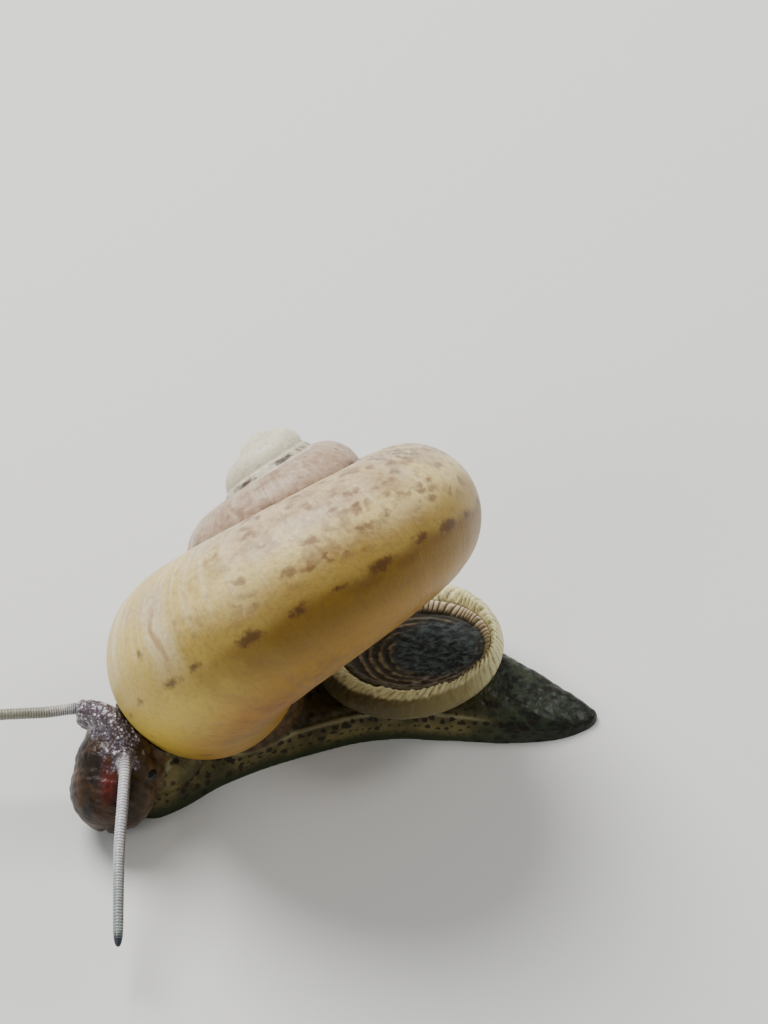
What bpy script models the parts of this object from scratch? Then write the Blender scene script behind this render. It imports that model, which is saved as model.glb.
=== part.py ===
"""A live land snail, Aulopoma helicinum, crawling, at life size.

The frame is in metres. +X runs forward along the rear half of the foot, towards the head, +Y is the
animal's left and +Z is up. The sole lies on Z = 0, and the origin is under the middle of the whole.
The shell is one piece: a round tube that coils to the right about an axis which leans to the animal's
right. The soft body is made whole and then parted, with a thin gap where two parts meet.
"""
import math

import bmesh
import bpy
from mathutils import Matrix, Vector

MM = 0.001
GAP = 0.3 * MM                      # between two parts that touch
HALF_GAP = GAP / 2
MERGE = 0.002 * MM                  # corners closer than this become one

# Shell: a tube whose radius and distance from the axis grow by a fixed factor each turn
APERTURE_RADIUS = 2.98 * MM         # outside of the tube at the lip
COIL_RADIUS = 4.49 * MM             # from the axis to the middle of the aperture
SPIRE_DROP = 6.6 * MM               # from the top of the coil to the middle of the aperture
GROWTH_LATE = 2.0                   # for the last turn
GROWTH_EARLY = 2.45                 # for each turn before it
DROP_POWER = 0.633                  # under 1, so that the early turns stand taller
TIP_FATNESS = 1.45                  # tube radius of the first turns, against the last one's proportion
TURNS = 2.65
GROWTH_LINE_LEAN = 0.016            # turns by which the upper lip runs ahead of the middle
TUBE_SIDES = 26
LENGTH_ENDS = (-2.1, -1.4, -0.7, 0.0)    # in turns before the aperture, each length under one turn
RINGS_PER_TURN = (24, 28, 34, 44)   # for those lengths, the innermost first
TUCK = 0.05                         # turns that a length runs on inside the next one
TUCKED_SIZE = 0.94
SEAM = 0.006                        # turns from a length's last full ring to the seam
CORE_RINGS = 10                     # of the cone that fills the spire's middle
CORE_SIDES = 28
CORE_SLOPE = math.radians(42.0)     # of the spire's side, from the axis
SUTURE_DEPTH = 0.2                  # of the cone's side under each turn's crest, as a share of its radius
CORE_DOME = ((0.62, 0.22), (0.22, 0.32))    # share of the last ring, and rise, in millimetres
CORE_BASE, CORE_BASE_DROP = 0.6, 0.15 * MM
LIP_WALL = 0.55 * MM
LIP_DEPTH_TURNS = 0.05              # how far the opening is hollow behind the lip
LIP_RINGS = 4
MANTLE_SET_BACK = 0.004             # turns from the lip to the edge of the mantle
BODY_CLEARS_TURNS = 0.3             # how far back from the lip the body keeps clear of the shell
BODY_CLEARS_RINGS = 14
START_ROUNDING = tuple(math.radians(a) for a in (80, 60, 40, 20))

# The way the shell is carried
APERTURE_CENTRE = Vector((4.2, 0.33, 3.95)) * MM
AXIS_HEADING = math.radians(-58.4)  # the apex points this way, from straight ahead
AXIS_RISE = math.radians(34.7)      # and this far above the level
APERTURE_TURN = math.radians(-28.0)

# Foot: x and y of the middle line, half width and height, from the tail's tip to the front
FOOT_STATIONS = (
    (-7.97, -0.42, 0.10, 0.10),
    (-7.60, -0.38, 0.50, 0.36),
    (-6.60, -0.48, 1.00, 0.66),
    (-5.20, -0.85, 1.48, 0.95),
    (-3.60, -1.35, 1.86, 1.12),
    (-1.90, -1.60, 1.98, 1.15),
    (-0.20, -1.45, 2.00, 1.15),
    (1.50, -0.85, 1.90, 1.15),
    (3.20, -0.20, 1.88, 1.12),
    (4.80, 0.65, 1.84, 1.02),
    (5.95, 1.65, 1.72, 0.86),
    (6.60, 2.33, 1.48, 0.68),
    (6.95, 2.70, 1.05, 0.48),
    (7.08, 2.85, 0.45, 0.28),
)
FOOT_SQUARENESS = 0.72              # under 1, so that the flanks stand steeper than an ellipse
FOOT_ARC_POINTS = 13
SOLE_POINTS = 3
FOOT_RINGS = 30
TAIL_TO, FOOT_FRONT_FROM = 0.281, 0.575     # shares of that line, where it is parted

# Pad on the back of the foot that carries the operculum
PAD_RADIUS = 1.75 * MM
PAD_BASE = 0.5 * MM
PAD_SIDES = 24

# Operculum: a thick dished disc with a milled rim
OPERCULUM_CENTRE = Vector((-2.08, -1.72, 1.32)) * MM    # middle of the under face
OPERCULUM_LEAN_RIGHT = math.radians(9.0)
OPERCULUM_LEAN_FORWARD = math.radians(6.0)
OPERCULUM_PROFILE = (               # radius and height above the under face, in millimetres
    (0.55, 0.24), (1.15, 0.29), (1.65, 0.36), (2.02, 0.50), (2.30, 0.74), (2.52, 0.86),
    (2.80, 0.85), (3.02, 0.66), (2.90, 0.46), (2.80, 0.26), (2.62, 0.06), (2.35, 0.0),
)
MILLED_FROM, MILLED_TO = 4, 7       # points of the profile that carry the milled ridges
MILL_RIDGES = 44
MILL_DEPTH = 0.07 * MM
SPIRAL_RIDGE = 0.05 * MM
SPIRAL_PITCH = 0.55 * MM
OPERCULUM_ROOM = (3.1 * MM, 3.0 * MM)   # radius and height of the room that the foot leaves for it

# Body between the aperture and the foot: x, y, z, half length and half width of each level section
STALK_STATIONS = (
    (3.00, 0.00, 0.60, 1.95, 1.60),
    (3.05, 0.00, 1.40, 1.95, 1.55),
    (3.30, 0.05, 2.10, 2.00, 1.60),
    (3.75, 0.10, 2.90, 2.10, 1.75),
    (4.05, 0.20, 3.60, 1.90, 1.70),
    (4.20, 0.30, 4.30, 1.50, 1.40),
)
STALK_TURN = math.radians(30.0)
STALK_SIDES = 20

# Neck: x, y, z of the middle, half width and half height of each section
NECK_STATIONS = (
    (3.60, 0.30, 1.75, 1.45, 0.85),
    (4.70, 0.80, 1.65, 1.42, 0.90),
    (5.70, 1.25, 1.75, 1.36, 1.00),
    (6.50, 1.70, 1.95, 1.18, 1.05),
)
NECK_SIDES = 18
NECK_RINGS = 10
NECK_FROM, HEAD_FROM = 0.45, 0.78   # shares of that line, where it is parted

# Head and snout, two rounded lumps: the middle, and the half length, width and height
HEAD_CENTRE = Vector((6.85, 2.05, 2.08)) * MM
HEAD_SIZE = (1.26, 1.26, 1.25)
SNOUT_CENTRE = Vector((6.98, 3.34, 1.42)) * MM
SNOUT_SIZE = (1.34, 1.32, 1.32)
HEAD_HEADING = math.radians(46.0)
SNOUT_HEADING = math.radians(78.0)
LUMP_SIDES, LUMP_RINGS = 26, 15

# Feelers: points from the root, which is sunk in the head, to the tip, and the radius at root and tip
LEFT_FEELER = (
    (6.68, 2.30, 2.55), (6.38, 3.05, 2.92), (6.36, 4.60, 2.75),
    (6.42, 6.20, 2.38), (6.47, 7.70, 2.00), (6.50, 9.07, 1.60),
)
RIGHT_FEELER = (
    (7.25, 1.75, 2.50), (7.95, 1.45, 2.92), (9.04, 1.62, 3.00),
    (10.5, 1.72, 3.00), (12.2, 1.85, 2.85), (13.9, 2.05, 2.60),
)
FEELER_ROOT = 0.42 * MM
FEELER_MIDDLE = 0.27 * MM
FEELER_TIP = 0.16 * MM
FEELER_SIDES = 10
FEELER_RINGS = 22
FEELER_CUT = 0.5                    # share of its length where a feeler is parted in two

# Eyes, on a low swelling at the outer side of each feeler's root
EYE_RADIUS = 0.26 * MM
EYE_GAP = 0.12 * MM                 # less than GAP, because the whole eye is about half a millimetre
LEFT_EYE = Vector((5.88, 3.20, 2.05)) * MM
RIGHT_EYE = Vector((7.95, 0.85, 2.05)) * MM
EYE_SWELLING = 0.50 * MM
EYE_SINK = 0.24 * MM                # from the eye's middle down to the swelling's middle

FLESH = {"base": (0.13, 0.09, 0.07), "roughness": 0.35, "metallic": 0.0}
MATERIALS = {
    "shell": {"base": (0.62, 0.43, 0.16), "roughness": 0.42, "metallic": 0.0},
    "operculum": {"base": (0.58, 0.47, 0.24), "roughness": 0.55, "metallic": 0.0},
    "foot": {"base": (0.21, 0.18, 0.13), "roughness": 0.4, "metallic": 0.0},
    "head": FLESH,
    "feeler": {"base": (0.25, 0.24, 0.26), "roughness": 0.3, "metallic": 0.0},
    "eye": {"base": (0.01, 0.01, 0.012), "roughness": 0.1, "metallic": 0.0},
}


def clear_scene():
    for old in list(bpy.data.objects):
        bpy.data.objects.remove(old, do_unlink=True)


def material(kind):
    found = bpy.data.materials.get(kind)
    if found:
        return found
    made = bpy.data.materials.new(kind)
    made.use_nodes = True
    shader = made.node_tree.nodes["Principled BSDF"]
    shader.inputs["Base Color"].default_value = (*MATERIALS[kind]["base"], 1.0)
    shader.inputs["Roughness"].default_value = MATERIALS[kind]["roughness"]
    shader.inputs["Metallic"].default_value = MATERIALS[kind]["metallic"]
    return made


def object_from(bm, name, kind="head"):
    """A linked object that holds the mesh, with its faces pointing out."""
    bmesh.ops.recalc_face_normals(bm, faces=bm.faces)
    if bm.calc_volume(signed=True) < 0:
        bmesh.ops.reverse_faces(bm, faces=bm.faces)
    mesh = bpy.data.meshes.new(name)
    bm.to_mesh(mesh)
    bm.free()
    obj = bpy.data.objects.new(name, mesh)
    mesh.materials.append(material(kind))
    bpy.context.scene.collection.objects.link(obj)
    return obj


def loft(rings, name, kind="head"):
    """A closed skin drawn over rings of points, each extruded from the one before it, with flat ends."""
    bm = bmesh.new()
    first = [bm.verts.new(p) for p in rings[0]]
    edges = [bm.edges.new((first[i - 1], first[i])) for i in range(len(first))]
    start = list(edges)
    ring = first
    for points in rings[1:]:
        made = bmesh.ops.extrude_edge_only(bm, edges=edges)["geom"]
        made_edges = [g for g in made if isinstance(g, bmesh.types.BMEdge)]
        edges = [e for e in made_edges if all(v not in ring for v in e.verts)]
        fresh = []
        for v in ring:
            across = next(e for e in v.link_edges if e.other_vert(v) not in ring and not e.other_vert(v).tag)
            fresh.append(across.other_vert(v))
        for old in ring:
            old.tag = True
        for v, p in zip(fresh, points):
            v.co = p
        ring = fresh
    bmesh.ops.edgeloop_fill(bm, edges=start)
    bmesh.ops.edgeloop_fill(bm, edges=edges)
    return object_from(bm, name, kind)


def replace_mesh_by_result(obj):
    """Applies the object's modifiers."""
    graph = bpy.context.evaluated_depsgraph_get()
    result = bpy.data.meshes.new_from_object(obj.evaluated_get(graph))
    obj.modifiers.clear()
    obj.data = result


def keep_largest(obj):
    """Closes up hair-thin faces, then drops every loose scrap but the largest closed surface."""
    bm = bmesh.new()
    bm.from_mesh(obj.data)
    bmesh.ops.triangulate(bm, faces=bm.faces)
    bmesh.ops.remove_doubles(bm, verts=bm.verts, dist=MERGE)
    bmesh.ops.dissolve_degenerate(bm, edges=bm.edges, dist=MERGE)
    groups, seen = [], set()
    for seed in bm.verts:
        if seed in seen:
            continue
        group, stack = [], [seed]
        seen.add(seed)
        while stack:
            v = stack.pop()
            group.append(v)
            for e in v.link_edges:
                other = e.other_vert(v)
                if other not in seen:
                    seen.add(other)
                    stack.append(other)
        groups.append(group)
    groups.sort(key=len)
    scraps = [v for group in groups[:-1] for v in group]
    bmesh.ops.delete(bm, geom=scraps, context="VERTS")
    bm.to_mesh(obj.data)
    bm.free()


def combine(obj, others, operation):
    """Joins the others to the object, or cuts them from it, and removes them."""
    tools = bpy.data.collections.new("tools")
    for other in others:
        tools.objects.link(other)
    step = obj.modifiers.new(operation.title(), "BOOLEAN")
    step.operation = operation
    step.operand_type = "COLLECTION"
    step.collection = tools
    replace_mesh_by_result(obj)
    keep_largest(obj)
    for other in others:
        bpy.data.objects.remove(other, do_unlink=True)
    bpy.data.collections.remove(tools)
    return obj


def copy_of(obj, name, kind=None):
    twin = bpy.data.objects.new(name, obj.data.copy())
    bpy.context.scene.collection.objects.link(twin)
    if kind:
        twin.data.materials.clear()
        twin.data.materials.append(material(kind))
    return twin


def keep_side(obj, point, normal):
    """Cuts the object flat at a plane, and keeps the side that the normal points to."""
    bm = bmesh.new()
    bm.from_mesh(obj.data)
    bmesh.ops.bisect_plane(
        bm, geom=list(bm.verts) + list(bm.edges) + list(bm.faces), dist=MERGE / 10,
        plane_co=point, plane_no=normal, clear_inner=True,
    )
    rim = [e for e in bm.edges if len(e.link_faces) == 1]
    bmesh.ops.contextual_create(bm, geom=rim)
    bmesh.ops.triangulate(bm, faces=bm.faces)
    bmesh.ops.recalc_face_normals(bm, faces=bm.faces)
    bm.to_mesh(obj.data)
    bm.free()
    keep_largest(obj)
    return obj


def through(points, share):
    """The place at a share, 0 to 1, of a smooth curve that passes through all the points."""
    last = len(points) - 1
    at = min(max(share, 0.0), 1.0) * last
    i = min(int(at), last - 1)
    u = at - i
    before, a, b, after = (points[max(0, min(last, k))] for k in (i - 1, i, i + 1, i + 2))
    return tuple(
        0.5 * (2 * q + (r - p) * u + (2 * p - 5 * q + 4 * r - s) * u ** 2 + (3 * q - p - 3 * r + s) * u ** 3)
        for p, q, r, s in zip(before, a, b, after)
    )


def along(points, share):
    """The direction of that curve there."""
    step = 0.01
    ahead = Vector(through(points, share + step)[:3])
    behind = Vector(through(points, share - step)[:3])
    return (ahead - behind).normalized()


def shell_frame():
    """From the coil's own axes, with the top of its axis at the origin and the apex up, to the world."""
    axis = Vector((
        math.cos(AXIS_RISE) * math.cos(AXIS_HEADING),
        math.cos(AXIS_RISE) * math.sin(AXIS_HEADING),
        math.sin(AXIS_RISE),
    ))
    level = Vector((0, 0, 1)).cross(axis).normalized()
    third = axis.cross(level)
    turned = Matrix((level, third, axis)).transposed() @ Matrix.Rotation(APERTURE_TURN, 3, "Z")
    middle = turned @ Vector((COIL_RADIUS, 0, -SPIRE_DROP))
    return Matrix.Translation(APERTURE_CENTRE - middle) @ turned.to_4x4()


def coil(turns):
    """Distance from the axis, height and tube radius at a number of turns before the aperture."""
    size = GROWTH_LATE ** turns if turns > -1 else GROWTH_EARLY ** (turns + 1) / GROWTH_LATE
    fatness = 1 + (TIP_FATNESS - 1) * max(-turns / TURNS, 0.0) ** 3
    return COIL_RADIUS * size, -SPIRE_DROP * size ** DROP_POWER, APERTURE_RADIUS * size * fatness


def shell_point(turns, girth, grown=0.0, share=1.0):
    """A point of the tube. girth is the angle round the tube, from its outer side up towards the apex."""
    here = turns + GROWTH_LINE_LEAN * math.sin(girth)
    out, height, radius = coil(here)
    radius = radius * share + grown
    around = -2 * math.pi * here
    reach = out + radius * math.cos(girth)
    return Vector((reach * math.cos(around), reach * math.sin(around), height + radius * math.sin(girth)))


def tube(start, end, rings, name, grown=0.0, tuck_start=False, tuck_end=False, start_cap=False):
    """One length of the coiled tube, closed. A tucked end is narrower and hides in its neighbour."""
    frame = shell_frame()
    first = start + SEAM * tuck_start
    last = end - SEAM * tuck_end
    stops = [(first + (last - first) * i / rings, 1.0) for i in range(rings + 1)]
    if tuck_start:
        stops.insert(0, (start - TUCK, TUCKED_SIZE))
    if tuck_end:
        stops.append((end + TUCK, TUCKED_SIZE))
    if start_cap:
        out, _, radius = coil(start)
        cap = radius / (2 * math.pi * out)
        stops = [(start - cap * math.sin(a), math.cos(a)) for a in START_ROUNDING] + stops
    turn = [2 * math.pi * (i + 0.5) / TUBE_SIDES for i in range(TUBE_SIDES)]
    rows = [[frame @ shell_point(t, g, grown, share) for g in turn] for t, share in stops]
    return loft(rows, name, "shell")


def make_core():
    """A cone in the middle of the spire, so that the early turns sit shallow, as one surface."""
    frame = shell_frame()
    profile = []
    for i in range(CORE_RINGS + 1):
        out, height, radius = coil(-1 - (TURNS - 1) * i / CORE_RINGS)
        reach = radius * (1 - SUTURE_DEPTH)
        profile.append((out + reach * math.cos(CORE_SLOPE), height + reach * math.sin(CORE_SLOPE)))
    low = profile[0]
    wide, high = profile[-1]
    profile = [(low[0] * CORE_BASE, low[1] - CORE_BASE_DROP), *profile]
    profile += [(wide * share, high + rise * MM) for share, rise in CORE_DOME]
    turn = [2 * math.pi * i / CORE_SIDES for i in range(CORE_SIDES)]
    rings = [[frame @ Vector((r * math.cos(a), r * math.sin(a), z)) for a in turn] for r, z in profile]
    return loft(rings, "core", "shell")


def make_shell():
    """The whole coil, joined where one turn sits in the next, and hollow just behind the lip."""
    lengths = [make_core()]
    start = -TURNS
    for i, (end, per_turn) in enumerate(zip(LENGTH_ENDS, RINGS_PER_TURN)):
        rings = round((end - start) * per_turn)
        last = end == LENGTH_ENDS[-1]
        lengths.append(tube(
            start, end, rings, "shell" if last else f"length_{i}",
            tuck_start=i > 0, tuck_end=not last, start_cap=i == 0,
        ))
        start = end
    shell = combine(lengths[-1], lengths[:-1], "UNION")
    hollow = tube(-LIP_DEPTH_TURNS, LIP_DEPTH_TURNS, LIP_RINGS, "hollow", grown=-LIP_WALL)
    combine(shell, [hollow], "DIFFERENCE")
    return shell


def make_mantle():
    """The edge of the mantle, which fills the hollow behind the lip."""
    return tube(
        -LIP_DEPTH_TURNS + GAP / (2 * math.pi * COIL_RADIUS), -MANTLE_SET_BACK, LIP_RINGS // 2,
        "mantle_edge", grown=-(LIP_WALL + GAP),
    )


def foot_ring(station, forward, grown=0.0):
    """A section across the foot: a flat sole and a rounded back."""
    x, y, half, height = (v * MM for v in station)
    left = Vector((-forward.y, forward.x, 0)).normalized()
    half += grown
    height += grown
    base = Vector((x, y, 0))
    ring = []
    for i in range(FOOT_ARC_POINTS):
        a = math.pi * i / (FOOT_ARC_POINTS - 1)
        side = math.copysign(abs(math.cos(a)) ** FOOT_SQUARENESS, math.cos(a))
        ring.append(base + left * half * side + Vector((0, 0, height * math.sin(a) ** FOOT_SQUARENESS)))
    for i in range(1, SOLE_POINTS + 1):
        ring.append(base + left * half * (2 * i / (SOLE_POINTS + 1) - 1))
    return ring


def foot_whole(name, grown=0.0):
    rings = []
    for i in range(FOOT_RINGS + 1):
        share = i / FOOT_RINGS
        rings.append(foot_ring(through(FOOT_STATIONS, share), along(foot_line(), share), grown))
    if grown:
        rings = [[Vector((p.x, p.y, p.z if p.z > 0 else -grown)) for p in ring] for ring in rings]
    return loft(rings, name, "foot")


def foot_line():
    return [(s[0], s[1], 0.0) for s in FOOT_STATIONS]


def operculum_frame():
    lean = Matrix.Rotation(OPERCULUM_LEAN_RIGHT, 4, "X") @ Matrix.Rotation(OPERCULUM_LEAN_FORWARD, 4, "Y")
    return Matrix.Translation(OPERCULUM_CENTRE) @ lean


def cylinder(name, radius, low, high, frame, sides=48):
    bm = bmesh.new()
    bmesh.ops.create_cone(
        bm, cap_ends=True, segments=sides, radius1=radius, radius2=radius, depth=high - low,
        matrix=frame @ Matrix.Translation((0, 0, (low + high) / 2)),
    )
    return object_from(bm, name, "foot")


def make_operculum():
    """The disc: a dished face with a spiral ridge, a milled rim and a grooved edge."""
    frame = operculum_frame()
    steps = 2 * MILL_RIDGES
    rows = []
    for k, (radius, height) in enumerate(OPERCULUM_PROFILE):
        row = []
        for i in range(steps):
            a = 2 * math.pi * i / steps
            r, z = radius * MM, height * MM
            if MILLED_FROM <= k <= MILLED_TO:
                z += MILL_DEPTH * (0.5 if i % 2 else -0.5)
            elif k < MILLED_FROM:
                z += SPIRAL_RIDGE * math.cos(2 * math.pi * r / SPIRAL_PITCH - a)
            row.append(frame @ Vector((r * math.cos(a), r * math.sin(a), z)))
        rows.append(row)
    return loft(rows, "operculum", "operculum")


def sphere(name, centre, radius, kind, steps=2):
    bm = bmesh.new()
    bmesh.ops.create_icosphere(bm, subdivisions=steps, radius=radius, matrix=Matrix.Translation(centre))
    return object_from(bm, name, kind)


def make_stalk():
    """The part of the body that leaves the aperture and spreads into the foot."""
    rings = []
    for x, y, z, length, width in STALK_STATIONS:
        ring = []
        for i in range(STALK_SIDES):
            a = 2 * math.pi * i / STALK_SIDES
            ahead, side = length * math.cos(a), width * math.sin(a)
            ring.append(Vector((
                x + ahead * math.cos(STALK_TURN) - side * math.sin(STALK_TURN),
                y + ahead * math.sin(STALK_TURN) + side * math.cos(STALK_TURN),
                z,
            )) * MM)
        rings.append(ring)
    return loft(rings, "stalk")


def lump(name, centre, size, heading, grown):
    bm = bmesh.new()
    scale = Matrix.Diagonal((*(v * MM + grown for v in size), 1.0))
    bmesh.ops.create_uvsphere(
        bm, u_segments=LUMP_SIDES, v_segments=LUMP_RINGS, radius=1.0,
        matrix=Matrix.Translation(centre) @ Matrix.Rotation(heading, 4, "Z") @ scale,
    )
    return object_from(bm, name)


def neck_line():
    return [s[:3] for s in NECK_STATIONS]


def neck_whole(name, grown=0.0):
    rings = []
    for k in range(NECK_RINGS + 1):
        share = k / NECK_RINGS
        x, y, z, width, height = (v * MM for v in through(NECK_STATIONS, share))
        ahead = along(neck_line(), share)
        left = Vector((0, 0, 1)).cross(ahead).normalized()
        up = ahead.cross(left)
        turn = [2 * math.pi * i / NECK_SIDES for i in range(NECK_SIDES)]
        rings.append([
            Vector((x, y, z)) + left * (width + grown) * math.cos(a) + up * (height + grown) * math.sin(a)
            for a in turn
        ])
    return loft(rings, name)


def head_bodies(grown=0.0):
    """Neck, head and snout, which overlap."""
    return [
        neck_whole("neck_whole", grown),
        lump("head_lump", HEAD_CENTRE, HEAD_SIZE, HEAD_HEADING, grown),
        lump("snout_lump", SNOUT_CENTRE, SNOUT_SIZE, SNOUT_HEADING, grown),
    ]


def feeler_radius(share):
    """Thick at the root, then an even taper, and a blunt tip."""
    if share < 0.3:
        u = share / 0.3
        return FEELER_ROOT + (FEELER_MIDDLE - FEELER_ROOT) * (u * u * (3 - 2 * u))
    return FEELER_MIDDLE + (FEELER_TIP - FEELER_MIDDLE) * ((share - 0.3) / 0.7) ** 2


def feeler_whole(points, name):
    rings = []
    for k in range(FEELER_RINGS + 1):
        share = k / FEELER_RINGS
        middle = Vector(through(points, share)) * MM
        ahead = along(points, share)
        left = Vector((0, 0, 1)).cross(ahead).normalized()
        up = ahead.cross(left)
        radius = feeler_radius(share) * (0.55 if k == FEELER_RINGS else 1.0)
        turn = [2 * math.pi * i / FEELER_SIDES for i in range(FEELER_SIDES)]
        rings.append([middle + (left * math.cos(a) + up * math.sin(a)) * radius for a in turn])
    return loft(rings, name, "feeler")


def part_across(obj, point, normal, front_name, front_kind=None):
    """Parts the object at a plane with a thin gap. The front becomes a new object, the rest stays."""
    normal = Vector(normal).normalized()
    point = Vector(point)
    front = copy_of(obj, front_name, front_kind)
    keep_side(front, point + normal * HALF_GAP, normal)
    keep_side(obj, point - normal * HALF_GAP, -normal)
    return front


def shell_clearance(name):
    """The last stretch of the shell, grown by the gap and filled, which the body keeps clear of."""
    beyond = GAP / (2 * math.pi * COIL_RADIUS)
    return tube(-BODY_CLEARS_TURNS, beyond, BODY_CLEARS_RINGS, name, grown=GAP)


def make_body():
    foot = foot_whole("foot_middle")
    frame = operculum_frame()
    pad = cylinder("pad", PAD_RADIUS, PAD_BASE - OPERCULUM_CENTRE.z, 0.0, frame, PAD_SIDES)
    combine(foot, [pad], "UNION")
    combine(foot, [cylinder("room", OPERCULUM_ROOM[0], -GAP, OPERCULUM_ROOM[1], frame)], "DIFFERENCE")

    trunk = make_stalk()
    combine(trunk, head_bodies(), "UNION")
    swellings = []
    for k, eye in enumerate((LEFT_EYE, RIGHT_EYE)):
        inward = (HEAD_CENTRE - eye).normalized()
        swellings.append(sphere(f"swelling_{k}", eye + inward * EYE_SINK, EYE_SWELLING, "head"))
    combine(trunk, swellings, "UNION")
    combine(trunk, [shell_clearance("clear")], "DIFFERENCE")
    combine(trunk, [foot_whole("foot_clear", GAP)], "DIFFERENCE")
    sockets = [sphere("socket", eye, EYE_RADIUS + EYE_GAP, "head") for eye in (LEFT_EYE, RIGHT_EYE)]
    combine(trunk, sockets, "DIFFERENCE")

    for name, points in (("tentacle_left", LEFT_FEELER), ("tentacle_right", RIGHT_FEELER)):
        feeler = feeler_whole(points, f"{name}_root")
        combine(feeler, head_bodies(GAP), "DIFFERENCE")
        combine(feeler, [shell_clearance("clear")], "DIFFERENCE")
        middle = Vector(through(points, FEELER_CUT)) * MM
        part_across(feeler, middle, along(points, FEELER_CUT), f"{name}_tip")

    trunk.name = "body_stalk"
    rest = trunk
    for name, share in (("neck", NECK_FROM), ("head", HEAD_FROM)):
        point = Vector(through(neck_line(), share)) * MM
        rest = part_across(rest, point, along(neck_line(), share), name)
    part_across(rest, SNOUT_CENTRE, SNOUT_CENTRE - HEAD_CENTRE, "snout")

    for name, share, way in (("foot_front", FOOT_FRONT_FROM, 1), ("tail", TAIL_TO, -1)):
        part_across(foot, Vector(through(foot_line(), share)) * MM, along(foot_line(), share) * way, name)

    sphere("eye_left", LEFT_EYE, EYE_RADIUS, "eye")
    sphere("eye_right", RIGHT_EYE, EYE_RADIUS, "eye")


def centre_on_origin():
    """Moves every part, so that the middle of the whole is over the origin and the sole is at Z = 0."""
    corners = [obj.matrix_world @ v.co for obj in bpy.data.objects for v in obj.data.vertices]
    low = [min(c[k] for c in corners) for k in range(3)]
    high = [max(c[k] for c in corners) for k in range(3)]
    shift = Vector((-(low[0] + high[0]) / 2, -(low[1] + high[1]) / 2, -low[2]))
    for obj in bpy.data.objects:
        obj.data.transform(Matrix.Translation(shift))


def smooth_all():
    for obj in bpy.data.objects:
        obj.data.shade_smooth()
        obj.data.set_sharp_from_angle(angle=math.radians(40))


clear_scene()
make_shell()
make_mantle()
make_operculum()
make_body()
centre_on_origin()
smooth_all()
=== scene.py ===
import math

import bmesh
import bpy
import numpy as np
from mathutils import Matrix, Vector, noise

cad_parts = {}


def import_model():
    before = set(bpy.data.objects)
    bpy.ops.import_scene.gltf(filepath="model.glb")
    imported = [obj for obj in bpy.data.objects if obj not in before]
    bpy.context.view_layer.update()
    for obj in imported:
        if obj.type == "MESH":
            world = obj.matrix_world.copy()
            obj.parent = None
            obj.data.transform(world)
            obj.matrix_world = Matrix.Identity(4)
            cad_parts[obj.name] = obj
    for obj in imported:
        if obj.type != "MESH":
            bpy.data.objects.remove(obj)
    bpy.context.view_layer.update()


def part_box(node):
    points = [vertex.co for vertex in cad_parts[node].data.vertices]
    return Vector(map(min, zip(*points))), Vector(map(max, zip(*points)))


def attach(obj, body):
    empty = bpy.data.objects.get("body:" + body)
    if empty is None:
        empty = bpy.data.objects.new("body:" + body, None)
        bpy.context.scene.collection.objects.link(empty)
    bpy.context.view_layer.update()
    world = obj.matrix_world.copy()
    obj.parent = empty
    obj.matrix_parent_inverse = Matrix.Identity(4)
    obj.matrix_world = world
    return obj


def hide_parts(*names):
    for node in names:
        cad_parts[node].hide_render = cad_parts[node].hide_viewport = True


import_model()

# The room: a pale matt floor that the snail crawls on, and a pale grey surround.
# A broad softbox hangs behind and above it, with a weaker one on the camera's side.
# The camera looks down at the animal's left side.
MM = 0.001
FLOOR_SIZE = 1.6
FLOOR_PALE = (0.80, 0.80, 0.78, 1.0)
SURROUND_PALE = (0.78, 0.80, 0.82, 1.0)
SURROUND_STRENGTH = 0.37
SOFTBOXES = (                       # name, place and size in metres, watts
    ("softbox_back", (0.08, -0.11, 0.16), 0.12, 0.64),
    ("softbox_side", (-0.13, -0.07, 0.12), 0.08, 0.10),
    ("softbox_front", (0.10, 0.10, 0.12), 0.06, 0.05),
)
LAMP_COLOUR = (1.0, 0.99, 0.97)
LIGHT_AIM = Vector((0.0, 0.0, 3.0)) * MM
CAMERA_PLACE = Vector((-4.229, 55.936, 79.184)) * MM
CAMERA_AIM = Vector((-4.229, -5.129, 6.410)) * MM
CAMERA_VIEW = math.radians(18.73)   # from the picture's top to its bottom


def facing(place, aim):
    """The turn of a lamp or camera at a place that looks at an aim."""
    return (aim - Vector(place)).to_track_quat("-Z", "Y").to_euler()


def shaded(name):
    """A new material with its node tree, and the shader in it."""
    made = bpy.data.materials.new(name)
    made.use_nodes = True
    return made, made.node_tree, made.node_tree.nodes["Principled BSDF"]


def settings(inputs, values):
    """Sets plain values on sockets, by their names."""
    for label, value in values.items():
        inputs[label].default_value = value


def linked(name, mesh):
    obj = bpy.data.objects.new(name, mesh)
    bpy.context.scene.collection.objects.link(obj)
    return obj


floor_mesh = bpy.data.meshes.new("floor")
bm = bmesh.new()
bmesh.ops.create_grid(bm, x_segments=1, y_segments=1, size=FLOOR_SIZE / 2)
bm.to_mesh(floor_mesh)
bm.free()
floor = linked("floor", floor_mesh)
floor_finish, _, floor_shader = shaded("floor_matt")
settings(floor_shader.inputs, {"Base Color": FLOOR_PALE, "Roughness": 0.75})
floor_mesh.materials.append(floor_finish)

surround = bpy.data.worlds.new("surround")
surround.use_nodes = True
settings(surround.node_tree.nodes["Background"].inputs, {
    "Color": SURROUND_PALE, "Strength": SURROUND_STRENGTH,
})
bpy.context.scene.world = surround

for name, place, size, watts in SOFTBOXES:
    lamp = bpy.data.lights.new(name, "AREA")
    lamp.shape = "DISK"
    lamp.size = size
    lamp.energy = watts
    lamp.color = LAMP_COLOUR
    lamp_object = bpy.data.objects.new(name, lamp)
    lamp_object.location = place
    lamp_object.rotation_euler = facing(place, LIGHT_AIM)
    bpy.context.scene.collection.objects.link(lamp_object)

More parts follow.
